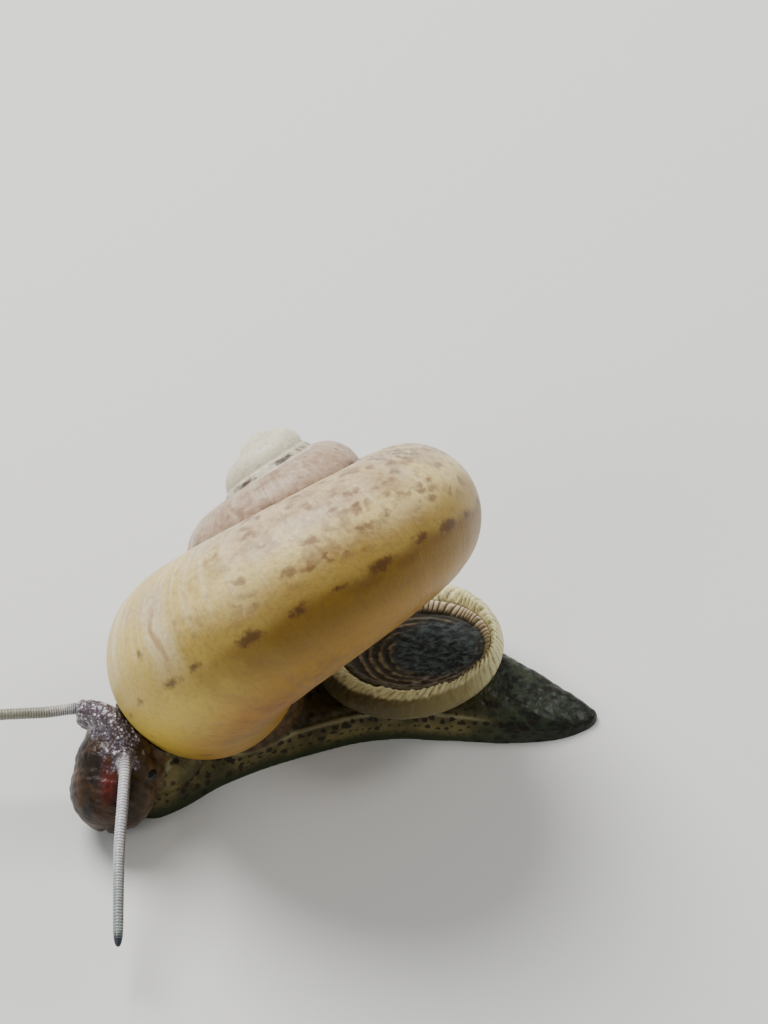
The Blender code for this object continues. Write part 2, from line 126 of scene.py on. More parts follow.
lens = bpy.data.cameras.new("camera")
lens.sensor_fit = "VERTICAL"
lens.angle_y = CAMERA_VIEW
lens.clip_start = 0.001
lens.clip_end = 10.0
camera = bpy.data.objects.new("camera", lens)
camera.location = CAMERA_PLACE
camera.rotation_euler = facing(CAMERA_PLACE, CAMERA_AIM)
bpy.context.scene.collection.objects.link(camera)
bpy.context.scene.camera = camera

# The shell: one tube of lime that coils to the right and widens with each turn, thin and a
# little glossy. The animal lays it down at the lip, a growth line at a time, honey-coloured
# below and grey-lilac above, with a row of brown dashes round its widest line.
APERTURE_RADIUS = 2.98 * MM         # outside of the tube at the lip
COIL_RADIUS = 4.49 * MM             # from the axis to the middle of the aperture
SPIRE_DROP = 6.6 * MM               # from the top of the coil to the middle of the aperture
GROWTH_LATE, GROWTH_EARLY = 2.0, 2.45   # times wider each turn: the last one, those before it
DROP_POWER = 0.633
TIP_FATNESS = 1.45
TURNS = 2.65
LEAN = 0.016                        # turns by which the upper lip runs ahead of the middle
APERTURE_CENTRE = Vector((4.2, 0.33, 3.95)) * MM
AXIS_HEADING = math.radians(-58.4)
AXIS_RISE = math.radians(34.7)
APERTURE_TURN = math.radians(-28.0)
TUBE_SIDES = 64
RINGS_PER_TURN = 210
LENGTH_ENDS = (-2.1, -1.4, -0.7, 0.0)
TUCK, TUCKED_SIZE, SEAM = 0.05, 0.94, 0.003
SWELLS = ((0.0050, 7.3, 0.4), (0.0036, 19.0, 2.1), (0.0030, 46.0, 5.0))     # share, per turn, phase
GROWTH_STOP, STOP_WIDTH, STOP_DEPTH = -0.139, 0.006, 0.006     # an old lip: turn, turns, share
LIP_WALL, LIP_DEPTH_TURNS = 0.42 * MM, 0.05
PAST_LIP_TURNS = 0.018              # how far the hollow is cut past the lip
LIP_FLARE, LIP_FLARE_TURNS = 0.012, 0.012
START_ROUNDING = tuple(math.radians(a) for a in (84, 72, 60, 48, 36, 24, 12))
CORE_RINGS, CORE_SIDES, CORE_STEPS = 24, 96, 200
CORE_SLOPE, SUTURE_DEPTH = math.radians(42.0), 0.30
CORE_DOME = ((0.86, 0.10), (0.62, 0.22), (0.38, 0.29), (0.12, 0.33))
CORE_BASE, CORE_BASE_DROP = 0.6, 0.15 * MM
CORE_GIRTH = 0.22
SUTURE_REACH = 0.40 * MM            # how far from the neighbouring turn a suture is darkened
SUTURE_GROOVE = (0.03 * MM, 0.12 * MM)      # how far off its own turn's surface a groove begins
PAST_START = 0.03                   # turns by which corners of the lip can lie past its middle
LEFT_EYE = Vector((5.88, 3.20, 2.05)) * MM

eye_low, eye_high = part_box("eye_left")
placed = Matrix.Translation((eye_low + eye_high) / 2 - LEFT_EYE)    # from these drawings to the frame

axis = Vector((
    math.cos(AXIS_RISE) * math.cos(AXIS_HEADING), math.cos(AXIS_RISE) * math.sin(AXIS_HEADING),
    math.sin(AXIS_RISE),
))
level = Vector((0, 0, 1)).cross(axis).normalized()
turned = Matrix((level, axis.cross(level), axis)).transposed() @ Matrix.Rotation(APERTURE_TURN, 3, "Z")
coil_frame = placed @ Matrix.Translation(APERTURE_CENTRE - turned @ Vector((COIL_RADIUS, 0, -SPIRE_DROP)))
coil_frame = coil_frame @ turned.to_4x4()


def coil(t):
    """Distance from the axis, height and tube radius, at t turns from the lip."""
    size = GROWTH_LATE ** t if t > -1 else GROWTH_EARLY ** (t + 1) / GROWTH_LATE
    fatness = 1 + (TIP_FATNESS - 1) * max(-t / TURNS, 0.0) ** 3
    return COIL_RADIUS * size, -SPIRE_DROP * size ** DROP_POWER, APERTURE_RADIUS * size * fatness


def ring_place(t, share=1.0, grown=0.0):
    """Carries a circle of radius 1 to its place as the tube's section at t."""
    out, height, radius = coil(t)
    radius = radius * share + grown
    lean = Matrix.Identity(4)
    lean[1][2] = -2 * math.pi * LEAN * out / radius
    return (
        coil_frame @ Matrix.Rotation(-2 * math.pi * t, 4, "Z")
        @ Matrix.Translation((out, 0, height)) @ Matrix.Scale(radius, 4) @ lean
    )


def swell(t):
    """The slight unevenness of growth, as a share of the tube's radius."""
    uneven = sum(share * noise.noise(Vector((t * per_turn, phase, 0.0))) for share, per_turn, phase in SWELLS)
    flare = LIP_FLARE * max(0.0, 1 + t / LIP_FLARE_TURNS) ** 2
    stop = STOP_DEPTH * math.exp(-((t - GROWTH_STOP) / STOP_WIDTH) ** 2)
    return 1 + uneven + flare - stop


def extruded(bm, ring, places):
    """Carries a closed ring of corners from place to place, leaving a wall behind it."""
    inside = set(ring)
    edges = [e for e in bm.edges if e.verts[0] in inside and e.verts[1] in inside]
    before = Matrix.Identity(4)
    rings = []
    for k, place in enumerate(places):
        if k:
            made = bmesh.ops.extrude_edge_only(bm, edges=edges)["geom"]
            ring = [g for g in made if isinstance(g, bmesh.types.BMVert)]
            inside = set(ring)
            made_edges = [g for g in made if isinstance(g, bmesh.types.BMEdge)]
            edges = [e for e in made_edges if e.verts[0] in inside and e.verts[1] in inside]
        bmesh.ops.transform(bm, matrix=place @ before.inverted(), verts=ring)
        before = place
        rings.append(ring)
    return rings


def close_ends(bm):
    """Fills the open ends of a wall, and turns every face outwards."""
    bmesh.ops.holes_fill(bm, edges=[e for e in bm.edges if e.is_boundary], sides=0)
    bmesh.ops.recalc_face_normals(bm, faces=bm.faces)


def finished(name, bm):
    """The object that holds the mesh."""
    mesh = bpy.data.meshes.new(name)
    bm.to_mesh(mesh)
    bm.free()
    return linked(name, mesh)


def coil_tube(name, stops, grown=0.0):
    """A closed length of tube through stops (t, share of the radius), with turns and girth as its UV map."""
    bm = bmesh.new()
    turn_of = bm.verts.layers.float.new("turn")
    girth_of = bm.verts.layers.float.new("girth")
    ring = bmesh.ops.create_circle(
        bm, segments=TUBE_SIDES, radius=1.0, matrix=Matrix.Rotation(math.pi / 2, 4, "X"),
    )["verts"]
    for v in ring:
        v[girth_of] = math.atan2(v.co.z, v.co.x) / (2 * math.pi)
    rings = extruded(bm, ring, [ring_place(t, share * swell(t), grown) for t, share in stops])
    for ring, (t, _) in zip(rings, stops):
        for v in ring:
            v[turn_of] = t
    close_ends(bm)
    grown_at = bm.loops.layers.uv.new("growth")
    for face in bm.faces:
        girths = [loop.vert[girth_of] for loop in face.loops]
        wraps = max(girths) - min(girths) > 0.5 and len(face.verts) == 4
        for loop, girth in zip(face.loops, girths):
            loop[grown_at].uv = (loop.vert[turn_of], girth + 1.0 if wraps and girth < 0 else girth)
    return finished(name, bm)


def joined(obj, others, operation):
    """Unites the others with the object, or cuts them from it, and removes them."""
    for other in others:
        step = obj.modifiers.new(other.name, "BOOLEAN")
        step.operation = operation
        step.object = other
        step.solver = "EXACT"
    graph = bpy.context.evaluated_depsgraph_get()
    result = bpy.data.meshes.new_from_object(obj.evaluated_get(graph))
    obj.modifiers.clear()
    obj.data = result
    for other in others:
        bpy.data.objects.remove(other, do_unlink=True)


def spread(start, end, per_turn):
    count = max(2, round((end - start) * per_turn))
    return [(start + (end - start) * i / count, 1.0) for i in range(count + 1)]


lengths = []
start = -TURNS
for i, end in enumerate(LENGTH_ENDS):
    last = end == LENGTH_ENDS[-1]
    stops = spread(start + (SEAM if i else 0), end - (0 if last else SEAM), RINGS_PER_TURN)
    if i:
        stops.insert(0, (start - TUCK, TUCKED_SIZE))
    else:
        out, _, radius = coil(start)
        cap = radius / (2 * math.pi * out)
        stops = [(start - cap * math.sin(a), math.cos(a)) for a in START_ROUNDING] + stops
    if not last:
        stops.append((end + TUCK, TUCKED_SIZE))
    lengths.append(coil_tube("shell_skin" if last else f"length_{i}", stops))
    start = end

bm = bmesh.new()
profile = []
for i in range(CORE_RINGS + 1):
    out, height, radius = coil(-1 - (TURNS - 1) * i / CORE_RINGS)
    reach = radius * (1 - SUTURE_DEPTH)
    profile.append((out + reach * math.cos(CORE_SLOPE), height + reach * math.sin(CORE_SLOPE)))
wide, high = profile[-1]
profile = [(profile[0][0] * CORE_BASE, profile[0][1] - CORE_BASE_DROP), *profile]
profile += [(wide * share, high + rise * MM) for share, rise in CORE_DOME]
line = [bm.verts.new((r, 0, z)) for r, z in profile]
for a, b in zip(line, line[1:]):
    bm.edges.new((a, b))
bmesh.ops.spin(
    bm, geom=list(bm.verts) + list(bm.edges), cent=(0, 0, 0), axis=(0, 0, 1), angle=2 * math.pi,
    steps=CORE_SIDES, use_merge=True,
)
bmesh.ops.remove_doubles(bm, verts=bm.verts, dist=1e-7)
close_ends(bm)
core_uv = bm.loops.layers.uv.new("growth")
heights = [(coil(t)[1], t) for t in (-1 - (TURNS - 1) * i / CORE_STEPS for i in range(CORE_STEPS + 1))]
for face in bm.faces:
    middle = face.calc_center_median()
    level_turn = next((t for height, t in heights if height > middle.z), -TURNS)
    shift = math.floor(level_turn + math.atan2(middle.y, middle.x) / (2 * math.pi) + 0.5)
    for loop in face.loops:
        own = shift - math.atan2(loop.vert.co.y, loop.vert.co.x) / (2 * math.pi)
        own += round(level_turn - own) if abs(level_turn - own) > 0.75 else 0
        loop[core_uv].uv = (own, CORE_GIRTH)
bmesh.ops.transform(bm, matrix=coil_frame, verts=bm.verts)
core = finished("core", bm)

shell = lengths.pop()
joined(shell, [*lengths, core], "UNION")
hollow_stops = spread(-LIP_DEPTH_TURNS, PAST_LIP_TURNS, 180)
joined(shell, [coil_tube("hollow", hollow_stops, -LIP_WALL)], "DIFFERENCE")
shell.data.shade_smooth()


def eased(value, low, high):
    """0 below low, 1 above high, smooth between."""
    u = min(max((value - low) / (high - low), 0.0), 1.0)
    return u * u * (3 - 2 * u)


def ease(values, low, high):
    """The same over an array."""
    u = np.clip((values - low) / (high - low), 0.0, 1.0)
    return u * u * (3 - 2 * u)


def spots_of(mesh):
    """The mesh's corner points as rows of an array."""
    places = np.zeros(len(mesh.vertices) * 3)
    mesh.vertices.foreach_get("co", places)
    return places.reshape(-1, 3)


def record(mesh, name, values):
    mesh.attributes.new(name, "FLOAT", "POINT").data.foreach_set("value", values.astype(np.float32))


to_coil = coil_frame.inverted()
tip_height = coil(-TURNS)[1]
suture_darkening = []
for place in spots_of(shell.data):
    x, y, z = to_coil @ Vector(place)
    behind = (math.atan2(y, x) / (2 * math.pi)) % 1.0
    near = []
    for t in ([1 - behind] if behind > 1 - PAST_START else []) + [-behind, -behind - 1, -behind - 2]:
        out, height, radius = coil(max(t, -TURNS))
        near.append((abs(math.hypot(math.hypot(x, y) - out, z - height) - radius), t))
    (own, at), (other, _) = sorted(near)[:2]
    groove = eased(own, *SUTURE_GROOVE) if at < -LIP_DEPTH_TURNS * 1.5 and z < tip_height else 0.0
    suture_darkening.append(max(1 - eased(other, 0.0, SUTURE_REACH), groove))
record(shell.data, "suture", np.array(suture_darkening))


def paint(red, green, blue):
    """A colour as a painter reads it, 0 to 255, as the shader wants it."""
    shares = [v / 255 for v in (red, green, blue)]
    return (*(v / 12.92 if v < 0.0405 else ((v + 0.055) / 1.055) ** 2.4 for v in shares), 1.0)


def fed(tree, sockets, values):
    """Gives each socket its value: a plain one, or a link from another socket."""
    for socket, value in zip(sockets, values):
        if isinstance(value, (int, float, tuple)):
            socket.default_value = value
        else:
            tree.links.new(value, socket)


def sums(tree, operation, *values):
    """A Math node over sockets or plain numbers."""
    made = tree.nodes.new("ShaderNodeMath")
    made.operation = operation
    fed(tree, made.inputs, values)
    return made.outputs[0]


def scaled(tree, value, factor, offset):
    return sums(tree, "MULTIPLY_ADD", value, factor, offset)


def step_up(tree, value, low, high):
    """0 below low, 1 above high, smooth between; with low above high it falls instead."""
    made = tree.nodes.new("ShaderNodeMapRange")
    made.interpolation_type = "SMOOTHSTEP"
    tree.links.new(value, made.inputs["Value"])
    rising = high > low
    settings(made.inputs, {
        "From Min": min(low, high), "From Max": max(low, high),
        "To Min": 0.0 if rising else 1.0, "To Max": 1.0 if rising else 0.0,
    })
    return made.outputs["Result"]


def tinted(tree, share, below, above):
    """Mixes two colours, each a socket or a plain colour."""
    made = tree.nodes.new("ShaderNodeMix")
    made.data_type = "RGBA"
    fed(tree, (made.inputs[0], made.inputs[6], made.inputs[7]), (share, below, above))
    return made.outputs[2]


def vector_of(tree, *values):
    made = tree.nodes.new("ShaderNodeCombineXYZ")
    fed(tree, made.inputs, values)
    return made.outputs[0]


def noisy(tree, vector, scale, detail=2.0, roughness=0.5):
    """Soft noise, around 0.5."""
    made = tree.nodes.new("ShaderNodeTexNoise")
    tree.links.new(vector, made.inputs["Vector"])
    settings(made.inputs, {"Scale": scale, "Detail": detail, "Roughness": roughness})
    return made.outputs["Fac"]


def attribute(tree, name, output="Fac"):
    made = tree.nodes.new("ShaderNodeAttribute")
    made.attribute_name = name
    return made.outputs[output]


def unwrapped(tree, name):
    """The piece's own UV map."""
    made = tree.nodes.new("ShaderNodeUVMap")
    made.uv_map = name
    return made.outputs["UV"]


def three_of(tree, vector):
    """The three numbers of a vector or colour."""
    made = tree.nodes.new("ShaderNodeSeparateXYZ")
    tree.links.new(vector, made.inputs[0])
    return made.outputs


def vector_math(tree, operation, vector, other=None):
    """A Vector Math node over a socket and a plain vector."""
    made = tree.nodes.new("ShaderNodeVectorMath")
    made.operation = operation
    tree.links.new(vector, made.inputs[0])
    if other is not None:
        made.inputs[1].default_value = other
    return made.outputs["Vector" if operation == "MULTIPLY" else "Value"]


def raised(tree, height, distance, strength=1.0, normal=None):
    made = tree.nodes.new("ShaderNodeBump")
    settings(made.inputs, {"Distance": distance, "Strength": strength})
    tree.links.new(height, made.inputs["Height"])
    if normal:
        tree.links.new(normal, made.inputs["Normal"])
    return made.outputs["Normal"]


HONEY = paint(168, 124, 14)
OLIVE_HONEY = paint(138, 104, 26)
STRAW = paint(172, 142, 66)
CREAM = paint(228, 204, 136)
LIP_YELLOW = paint(210, 180, 74)
LILAC_GREY = paint(192, 166, 138)
SPIRE_GREY = paint(184, 158, 134)
APEX_PALE = paint(224, 218, 190)
CHALK_AND_SHEEN = paint(240, 230, 202)
MAUVE = paint(112, 76, 56)
DASH_BROWN = paint(84, 44, 12)
AMBER = paint(166, 104, 16)
CREASE_BROWN = paint(150, 96, 40)
SUTURE_DARK = paint(92, 68, 50)
DIRT_BLACK = paint(38, 30, 24)
DASH_ROW = -0.036                   # girth of the row of dashes, as a share of the way round the tube
DASHES_PER_TURN = 27.0
SHADE_BAND_ROW = -0.048                 # girth of the painted shade band under the dashes
AMBER_TURN, AMBER_GIRTH = -0.15, -0.215     # the amber patch near the lip


def around(tree, value, middle, reach):
    """1 at the middle, 0 past the reach on both sides of it."""
    return step_up(tree, sums(tree, "ABSOLUTE", sums(tree, "SUBTRACT", value, middle)), reach, 0.0)


def random_of(tree, value, shift):
    """A steady random number, 0 to 1, for each whole number that a value rounds down to."""
    made = tree.nodes.new("ShaderNodeTexWhiteNoise")
    made.noise_dimensions = "1D"
    tree.links.new(sums(tree, "ADD", sums(tree, "FLOOR", value), shift), made.inputs["W"])
    return made.outputs["Value"]


def cells(tree, vector, scale):
    """Voronoi cells: the distance to each cell's middle, and a random number for each cell."""
    made = tree.nodes.new("ShaderNodeTexVoronoi")
    made.inputs["Scale"].default_value = scale
    tree.links.new(vector, made.inputs["Vector"])
    return made.outputs["Distance"], three_of(tree, made.outputs["Color"])[0]


def product(tree, *values):
    made = values[0]
    for value in values[1:]:
        made = sums(tree, "MULTIPLY", made, value)
    return made


def coated(tree, below, above, *shares):
    """Lays a colour over another, as strongly as the product of the shares."""
    return tinted(tree, product(tree, *shares), below, above)


def faded(tree, noise_value, share):
    """Noise that goes flat where share is 0."""
    return scaled(tree, sums(tree, "SUBTRACT", noise_value, 0.5), share, 0.5)


def speckled(tree, vector, wide, small, kept):
    """Soft spots: their distance thresholds, and the share of the cells that have one."""
    distance, chance = cells(tree, vector, 1.0)
    near = step_up(tree, sums(tree, "ADD", distance, rough_edge), wide, small)
    return product(tree, near, step_up(tree, chance, kept, kept - 0.1))


shell_finish, tree, shader = shaded("shell_lime")
turn, girth, _ = three_of(tree, unwrapped(tree, "growth"))
spot = tree.nodes.new("ShaderNodeTexCoord").outputs["Object"]

wander = sums(tree, "SUBTRACT", noisy(tree, spot, 700.0), 0.5)
rough_edge = scaled(tree, noisy(tree, spot, 5200.0, 2.0), 0.24, -0.12)
height_up = scaled(tree, wander, 0.05, girth)
near_lip = step_up(tree, scaled(tree, wander, 0.10, turn), -0.24, -0.08)
# Below the widest line the honey deepens to olive: partly the shell's own colour, partly painted shade where
# the underside turns from the light.
lower = tinted(tree, step_up(tree, height_up, -0.16, -0.08), HONEY, OLIVE_HONEY)
lower = coated(tree, lower, LIP_YELLOW, near_lip, step_up(tree, girth, -0.20, -0.08))
upper = tinted(tree, step_up(tree, height_up, -0.01, 0.07), STRAW, CREAM)
upper = coated(tree, upper, LIP_YELLOW, near_lip, 0.8)
colour = tinted(tree, step_up(tree, height_up, -0.055, -0.020), lower, upper)
clouds = step_up(tree, noisy(tree, spot, 500.0), 0.35, 0.60)
colour = coated(tree, colour, LILAC_GREY, step_up(tree, height_up, 0.05, 0.12), clouds, 0.75)
early = step_up(tree, scaled(tree, wander, 0.3, turn), -0.75, -1.00)
colour = coated(tree, colour, SPIRE_GREY, early)
colour = coated(tree, colour, APEX_PALE, step_up(tree, turn, -1.75, -2.25))

lines_along = vector_of(tree, product(tree, turn, 190.0), product(tree, girth, 3.0))
grown = step_up(tree, turn, -2.6, -2.3)
fine_lines = faded(tree, noisy(tree, lines_along, 1.0, 3.0, 0.6), grown)
bands_along = vector_of(tree, product(tree, turn, 34.0), product(tree, girth, 1.4))
bands = faded(tree, noisy(tree, bands_along, 1.0, 2.0), grown)
# Pale growth lines and bands, strongest on the upper side and on the wrinkled shoulder near the lip: partly
# the lime's own pale lines, partly painted sheen where the top catches the light.
above = step_up(tree, girth, -0.03, 0.10)
wrinkled = product(tree, step_up(tree, turn, -0.24, -0.16), above)
line_share = scaled(tree, above, 0.25, scaled(tree, wrinkled, 0.25, 0.02))
colour = coated(tree, colour, CHALK_AND_SHEEN, step_up(tree, fine_lines, 0.50, 0.72), line_share)
pale_share = scaled(tree, wrinkled, 0.16, 0.26)
colour = coated(tree, colour, CHALK_AND_SHEEN, step_up(tree, bands, 0.52, 0.72), above, pale_share)
colour = coated(tree, colour, OLIVE_HONEY, step_up(tree, bands, 0.46, 0.26), 0.30)
from_stop = sums(tree, "ABSOLUTE", sums(tree, "SUBTRACT", scaled(tree, wander, 0.03, turn), GROWTH_STOP))
scar = product(tree, step_up(tree, girth, -0.06, 0.05), step_up(tree, girth, 0.16, 0.06))
colour = coated(tree, colour, CHALK_AND_SHEEN, step_up(tree, from_stop, 0.022, 0.006), scar, 0.40)
colour = coated(tree, colour, CREASE_BROWN, step_up(tree, from_stop, 0.0050, 0.0010), scar, 0.55)

warp = scaled(tree, noisy(tree, spot, 2300.0, 3.0), 1.8, -0.9)
side_warp = scaled(tree, noisy(tree, spot, 1900.0, 3.0), 2.4, -1.2)
mottled = product(
    tree, step_up(tree, girth, -0.02, 0.03),
    step_up(tree, turn, -0.10, -0.26), step_up(tree, turn, -2.15, -1.80),
)
crisp = scaled(tree, early, -0.42, 0.72)
for per_turn, per_girth, wide, small, strength in (
    (27.0, 19.0, 0.72, 0.08, 0.50), (66.0, 46.0, 0.62, 0.14, crisp),
):
    across_spiral = scaled(tree, girth, per_girth, side_warp)
    along_spiral = vector_of(tree, scaled(tree, turn, per_turn, warp), across_spiral)
    mottles = speckled(tree, along_spiral, wide, small, 0.62)
    colour = coated(tree, colour, MAUVE, mottles, mottled, strength)


row_tree = bpy.data.node_groups.new("spots_in_row", "ShaderNodeTree")
for label in ("Count", "Across", "Uneven", "Small", "Large", "Rough"):
    row_tree.interface.new_socket(label, in_out="INPUT", socket_type="NodeSocketFloat")
row_tree.interface.new_socket("Past", in_out="OUTPUT", socket_type="NodeSocketFloat")
given = row_tree.nodes.new("NodeGroupInput").outputs
place_in_row = sums(row_tree, "SUBTRACT", sums(row_tree, "FRACT", given["Count"]), 0.5)
strayed = scaled(row_tree, random_of(row_tree, given["Count"], 0.3), 0.5, -0.25)
sideways = sums(row_tree, "SUBTRACT", random_of(row_tree, given["Count"], 7.3), 0.5)
from_middle = vector_of(
    row_tree, sums(row_tree, "ADD", place_in_row, strayed),
    sums(row_tree, "SUBTRACT", given["Across"], product(row_tree, sideways, given["Uneven"])),
)
away = vector_math(row_tree, "LENGTH", from_middle)
bigger = sums(row_tree, "POWER", random_of(row_tree, given["Count"], 13.3), 2.0)
size_range = sums(row_tree, "SUBTRACT", given["Large"], given["Small"])
own_size = sums(row_tree, "ADD", product(row_tree, bigger, size_range), given["Small"])
row_tree.links.new(
    sums(row_tree, "SUBTRACT", sums(row_tree, "ADD", away, given["Rough"]), own_size),
    row_tree.nodes.new("NodeGroupOutput").inputs["Past"],
)


def spots_in_row(tree, **given):
    """How far outside a row of uneven spots a place is, in spacings; below 0 it is in one."""
    made = tree.nodes.new("ShaderNodeGroup")
    made.node_tree = row_tree
    fed(tree, [made.inputs[label] for label in given], given.values())
    return made.outputs["Past"]


across = product(tree, sums(tree, "SUBTRACT", girth, DASH_ROW), 26.0)
ragged = scaled(tree, noisy(tree, spot, 4200.0, 4.0, 0.7), 0.80, -0.40)
past_dash = spots_in_row(
    tree, Count=product(tree, turn, DASHES_PER_TURN), Across=across, Uneven=0.36, Small=0.05, Large=0.28,
    Rough=ragged,
)
colour = coated(tree, colour, DASH_BROWN, step_up(tree, past_dash, 0.20, 0.0), 0.26)
colour = coated(tree, colour, DASH_BROWN, step_up(tree, past_dash, 0.12, -0.12), 0.70)
# Painted shade: a brown band just under the row of dashes, on the underside of the widest line, broken up by
# noise.
in_row = around(tree, height_up, SHADE_BAND_ROW, 0.022)
past_lip = step_up(tree, turn, -0.20, -0.28)
colour = coated(tree, colour, DASH_BROWN, in_row, past_lip, scaled(tree, wander, 1.4, 0.22))
near_turn, near_girth = around(tree, turn, AMBER_TURN, 0.07), around(tree, height_up, AMBER_GIRTH, 0.11)
colour = coated(tree, colour, AMBER, near_turn, near_girth, 0.6)
flecks_along = vector_of(tree, product(tree, turn, 34.0), product(tree, girth, 13.0))
colour = coated(tree, colour, DASH_BROWN, speckled(tree, flecks_along, 0.20, 0.04, 0.20), 0.7)

# Darker along the sutures, where one turn meets the next, broken up by noise; the same brown lies on a worn
# patch near the upper suture.
suture_noise = step_up(tree, noisy(tree, spot, 2600.0, 3.0, 0.7), 0.40, 0.62)
suture = attribute(tree, "suture")
worn = product(
    tree, step_up(tree, turn, -0.375, -0.41), step_up(tree, turn, -0.56, -0.50),
    step_up(tree, girth, 0.10, 0.14), step_up(tree, noisy(tree, spot, 3400.0, 4.0, 0.7), 0.46, 0.58), 0.65,
)
darkened = product(tree, suture, scaled(tree, suture_noise, 0.60, 0.28))
colour = coated(tree, colour, SUTURE_DARK, sums(tree, "MAXIMUM", darkened, worn))
clumps = scaled(tree, ragged, 0.45, noisy(tree, spot, 900.0, 3.0, 0.6))
black_spots = product(tree, step_up(tree, clumps, 0.50, 0.60), step_up(tree, suture, 0.45, 0.95))
colour = coated(tree, colour, DIRT_BLACK, black_spots, 0.9)
grain = noisy(tree, spot, 6500.0, 4.0, 0.65)
colour = coated(tree, colour, MAUVE, step_up(tree, grain, 0.54, 0.30), 0.28)
# Pale flecks on the upper side only: partly chalky grain, partly painted glints where the top catches the
# light.
colour = coated(tree, colour, CHALK_AND_SHEEN, step_up(tree, grain, 0.56, 0.74), above, 0.38)

tree.links.new(colour, shader.inputs["Base Color"])
relief = raised(tree, fine_lines, 0.02 * MM, 0.6, raised(tree, bands, 0.07 * MM, 0.6))
tree.links.new(raised(tree, grain, 0.025 * MM, 0.8, relief), shader.inputs["Normal"])
tree.links.new(scaled(tree, grain, 0.25, 0.30), shader.inputs["Roughness"])
settings(shader.inputs, {
    "Specular IOR Level": 0.3, "Coat Weight": 0.12, "Coat Roughness": 0.22,
    "Subsurface Weight": 0.2, "Subsurface Radius": (1.0, 0.5, 0.15), "Subsurface Scale": 0.3 * MM,
})
shell.data.materials.clear()
shell.data.materials.append(shell_finish)
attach(shell, "root")
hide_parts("shell")

# The operculum: the lid that the animal carries on the back of its foot, a thick disc of lime
# and horn laid down as a spiral. Its dished middle is black and fibrous, with brown lamellae
# that wind out from it, and its thick cream rim is milled in two tiers of fine radial ridges.
LID_CENTRE = Vector((-2.08, -1.72, 1.32)) * MM      # middle of the under face
LID_LEAN_RIGHT, LID_LEAN_FORWARD = math.radians(9.0), math.radians(6.0)
LID_PROFILE = (                     # radius and height in millimetres, from the middle over the rim and under
    (0.0, 0.27), (0.5, 0.28), (1.0, 0.30), (1.5, 0.34), (1.86, 0.39), (2.06, 0.44), (2.14, 0.55),
    (2.24, 0.66), (2.33, 0.70), (2.38, 0.66), (2.44, 0.76), (2.52, 0.85), (2.62, 0.88), (2.76, 0.83),
    (2.89, 0.70), (2.98, 0.53), (2.99, 0.36), (2.88, 0.17), (2.68, 0.05), (2.40, 0.0), (1.5, 0.0), (0.0, 0.0),
)
LID_RINGS = 96
DISH_SHIFT, DISH_NARROW = (-0.30, 0.12), 0.18       # the dish is off the middle, narrower than the rim
MILL_TEETH, TEETH_STEPS = 76, 8
INNER_TIER, OUTER_TIER = (2.04, 2.38), (2.38, 2.72)
OUTER_SHORTER, OUTER_UNEVEN = 0.10, 0.09            # outer tier's end: at the front edge, tooth by tooth
INNER_TOOTH, OUTER_TOOTH = 0.095, 0.105             # millimetres
TOOTH_SLANT = 0.22                  # turn of a tooth over its length, radians per millimetre
NUCLEUS = Vector((-0.62, -0.10))    # where the spiral starts, off the dish's middle, in millimetres
DISH_RADIUS = 2.06
LAMELLAE, LAMELLA_HEIGHT = 8.5, 0.07
LAMELLA_CREST = 0.86                # share of a lamella's width where it is highest
FIBRE_DEPTH = 0.055


def through(points, share):
    """The place at a share, 0 to 1, of a smooth curve that passes through all the points."""
    last = len(points) - 1
    at = min(max(share, 0.0), 1.0) * last
    i = min(int(at), last - 1)
    u = at - i
    before, a, b, after = (points[max(0, min(last, k))] for k in (i - 1, i, i + 1, i + 2))
    return tuple(
        0.5 * (2 * q + (r - p) * u + (2 * p - 5 * q + 4 * r - s) * u ** 2 + (3 * q - p - 3 * r + s) * u ** 3)
        for p, q, r, s in zip(before, a, b, after)
    )


def traced(points, count):
    """The smooth curve step by step: each step's share and place."""
    return [(k / count, through(points, k / count)) for k in range(count + 1)]


def tier(radius, start, end):
    """1 on a tier of teeth and 0 off it."""
    return eased(radius, start, start + 0.08) * (1 - eased(radius, end - 0.12, end))


def lamella(x, y):
    """The spiral's phase and how much it shows, at a place of the dish in millimetres."""
    away = Vector((x, y)) - NUCLEUS
    reach = away.length
    if reach < 1e-6:
        return 0.0, 0.0
    along_ray = away / reach
    ahead = NUCLEUS.dot(along_ray)
    edge = -ahead + math.sqrt(max(ahead ** 2 + DISH_RADIUS ** 2 - NUCLEUS.length_squared, 0.0))
    share = reach / edge
    angle = math.atan2(along_ray.y, along_ray.x)
    shows = eased(share, 0.25, 0.5) * (1 - eased(share, 0.93, 1.02))
    return LAMELLAE * share - angle / (2 * math.pi), shows


lid_frame = (
    placed @ Matrix.Translation(LID_CENTRE) @ Matrix.Rotation(LID_LEAN_RIGHT, 4, "X")
    @ Matrix.Rotation(LID_LEAN_FORWARD, 4, "Y") @ Matrix.Scale(MM, 4)
)
bm = bmesh.new()
ring = bmesh.ops.create_circle(bm, segments=MILL_TEETH * TEETH_STEPS, radius=1.0)["verts"]
profile = [place for _, place in traced(LID_PROFILE, LID_RINGS)]
rings = extruded(bm, ring, [
    Matrix.Translation((0, 0, z)) @ Matrix.Diagonal((max(r, 0.01), max(r, 0.01), 1.0, 1.0))
    for r, z in profile
])
for ring, (_, z) in ((rings[0], profile[0]), (rings[-1], profile[-1])):
    bmesh.ops.pointmerge(bm, verts=ring, merge_co=(0.0, 0.0, z))
bmesh.ops.recalc_face_normals(bm, faces=bm.faces)
ridge_of, tooth_of, wall_of = (bm.verts.layers.float.new(name) for name in ("ridge", "tooth", "wall"))
dial = bm.loops.layers.uv.new("dial")
dials = {v: v.co.xy for v in bm.verts}
for v in bm.verts:
    v[wall_of] = eased(v.co.xy.length, 2.66, 2.90) if v.co.z > 0.6 else 1.0
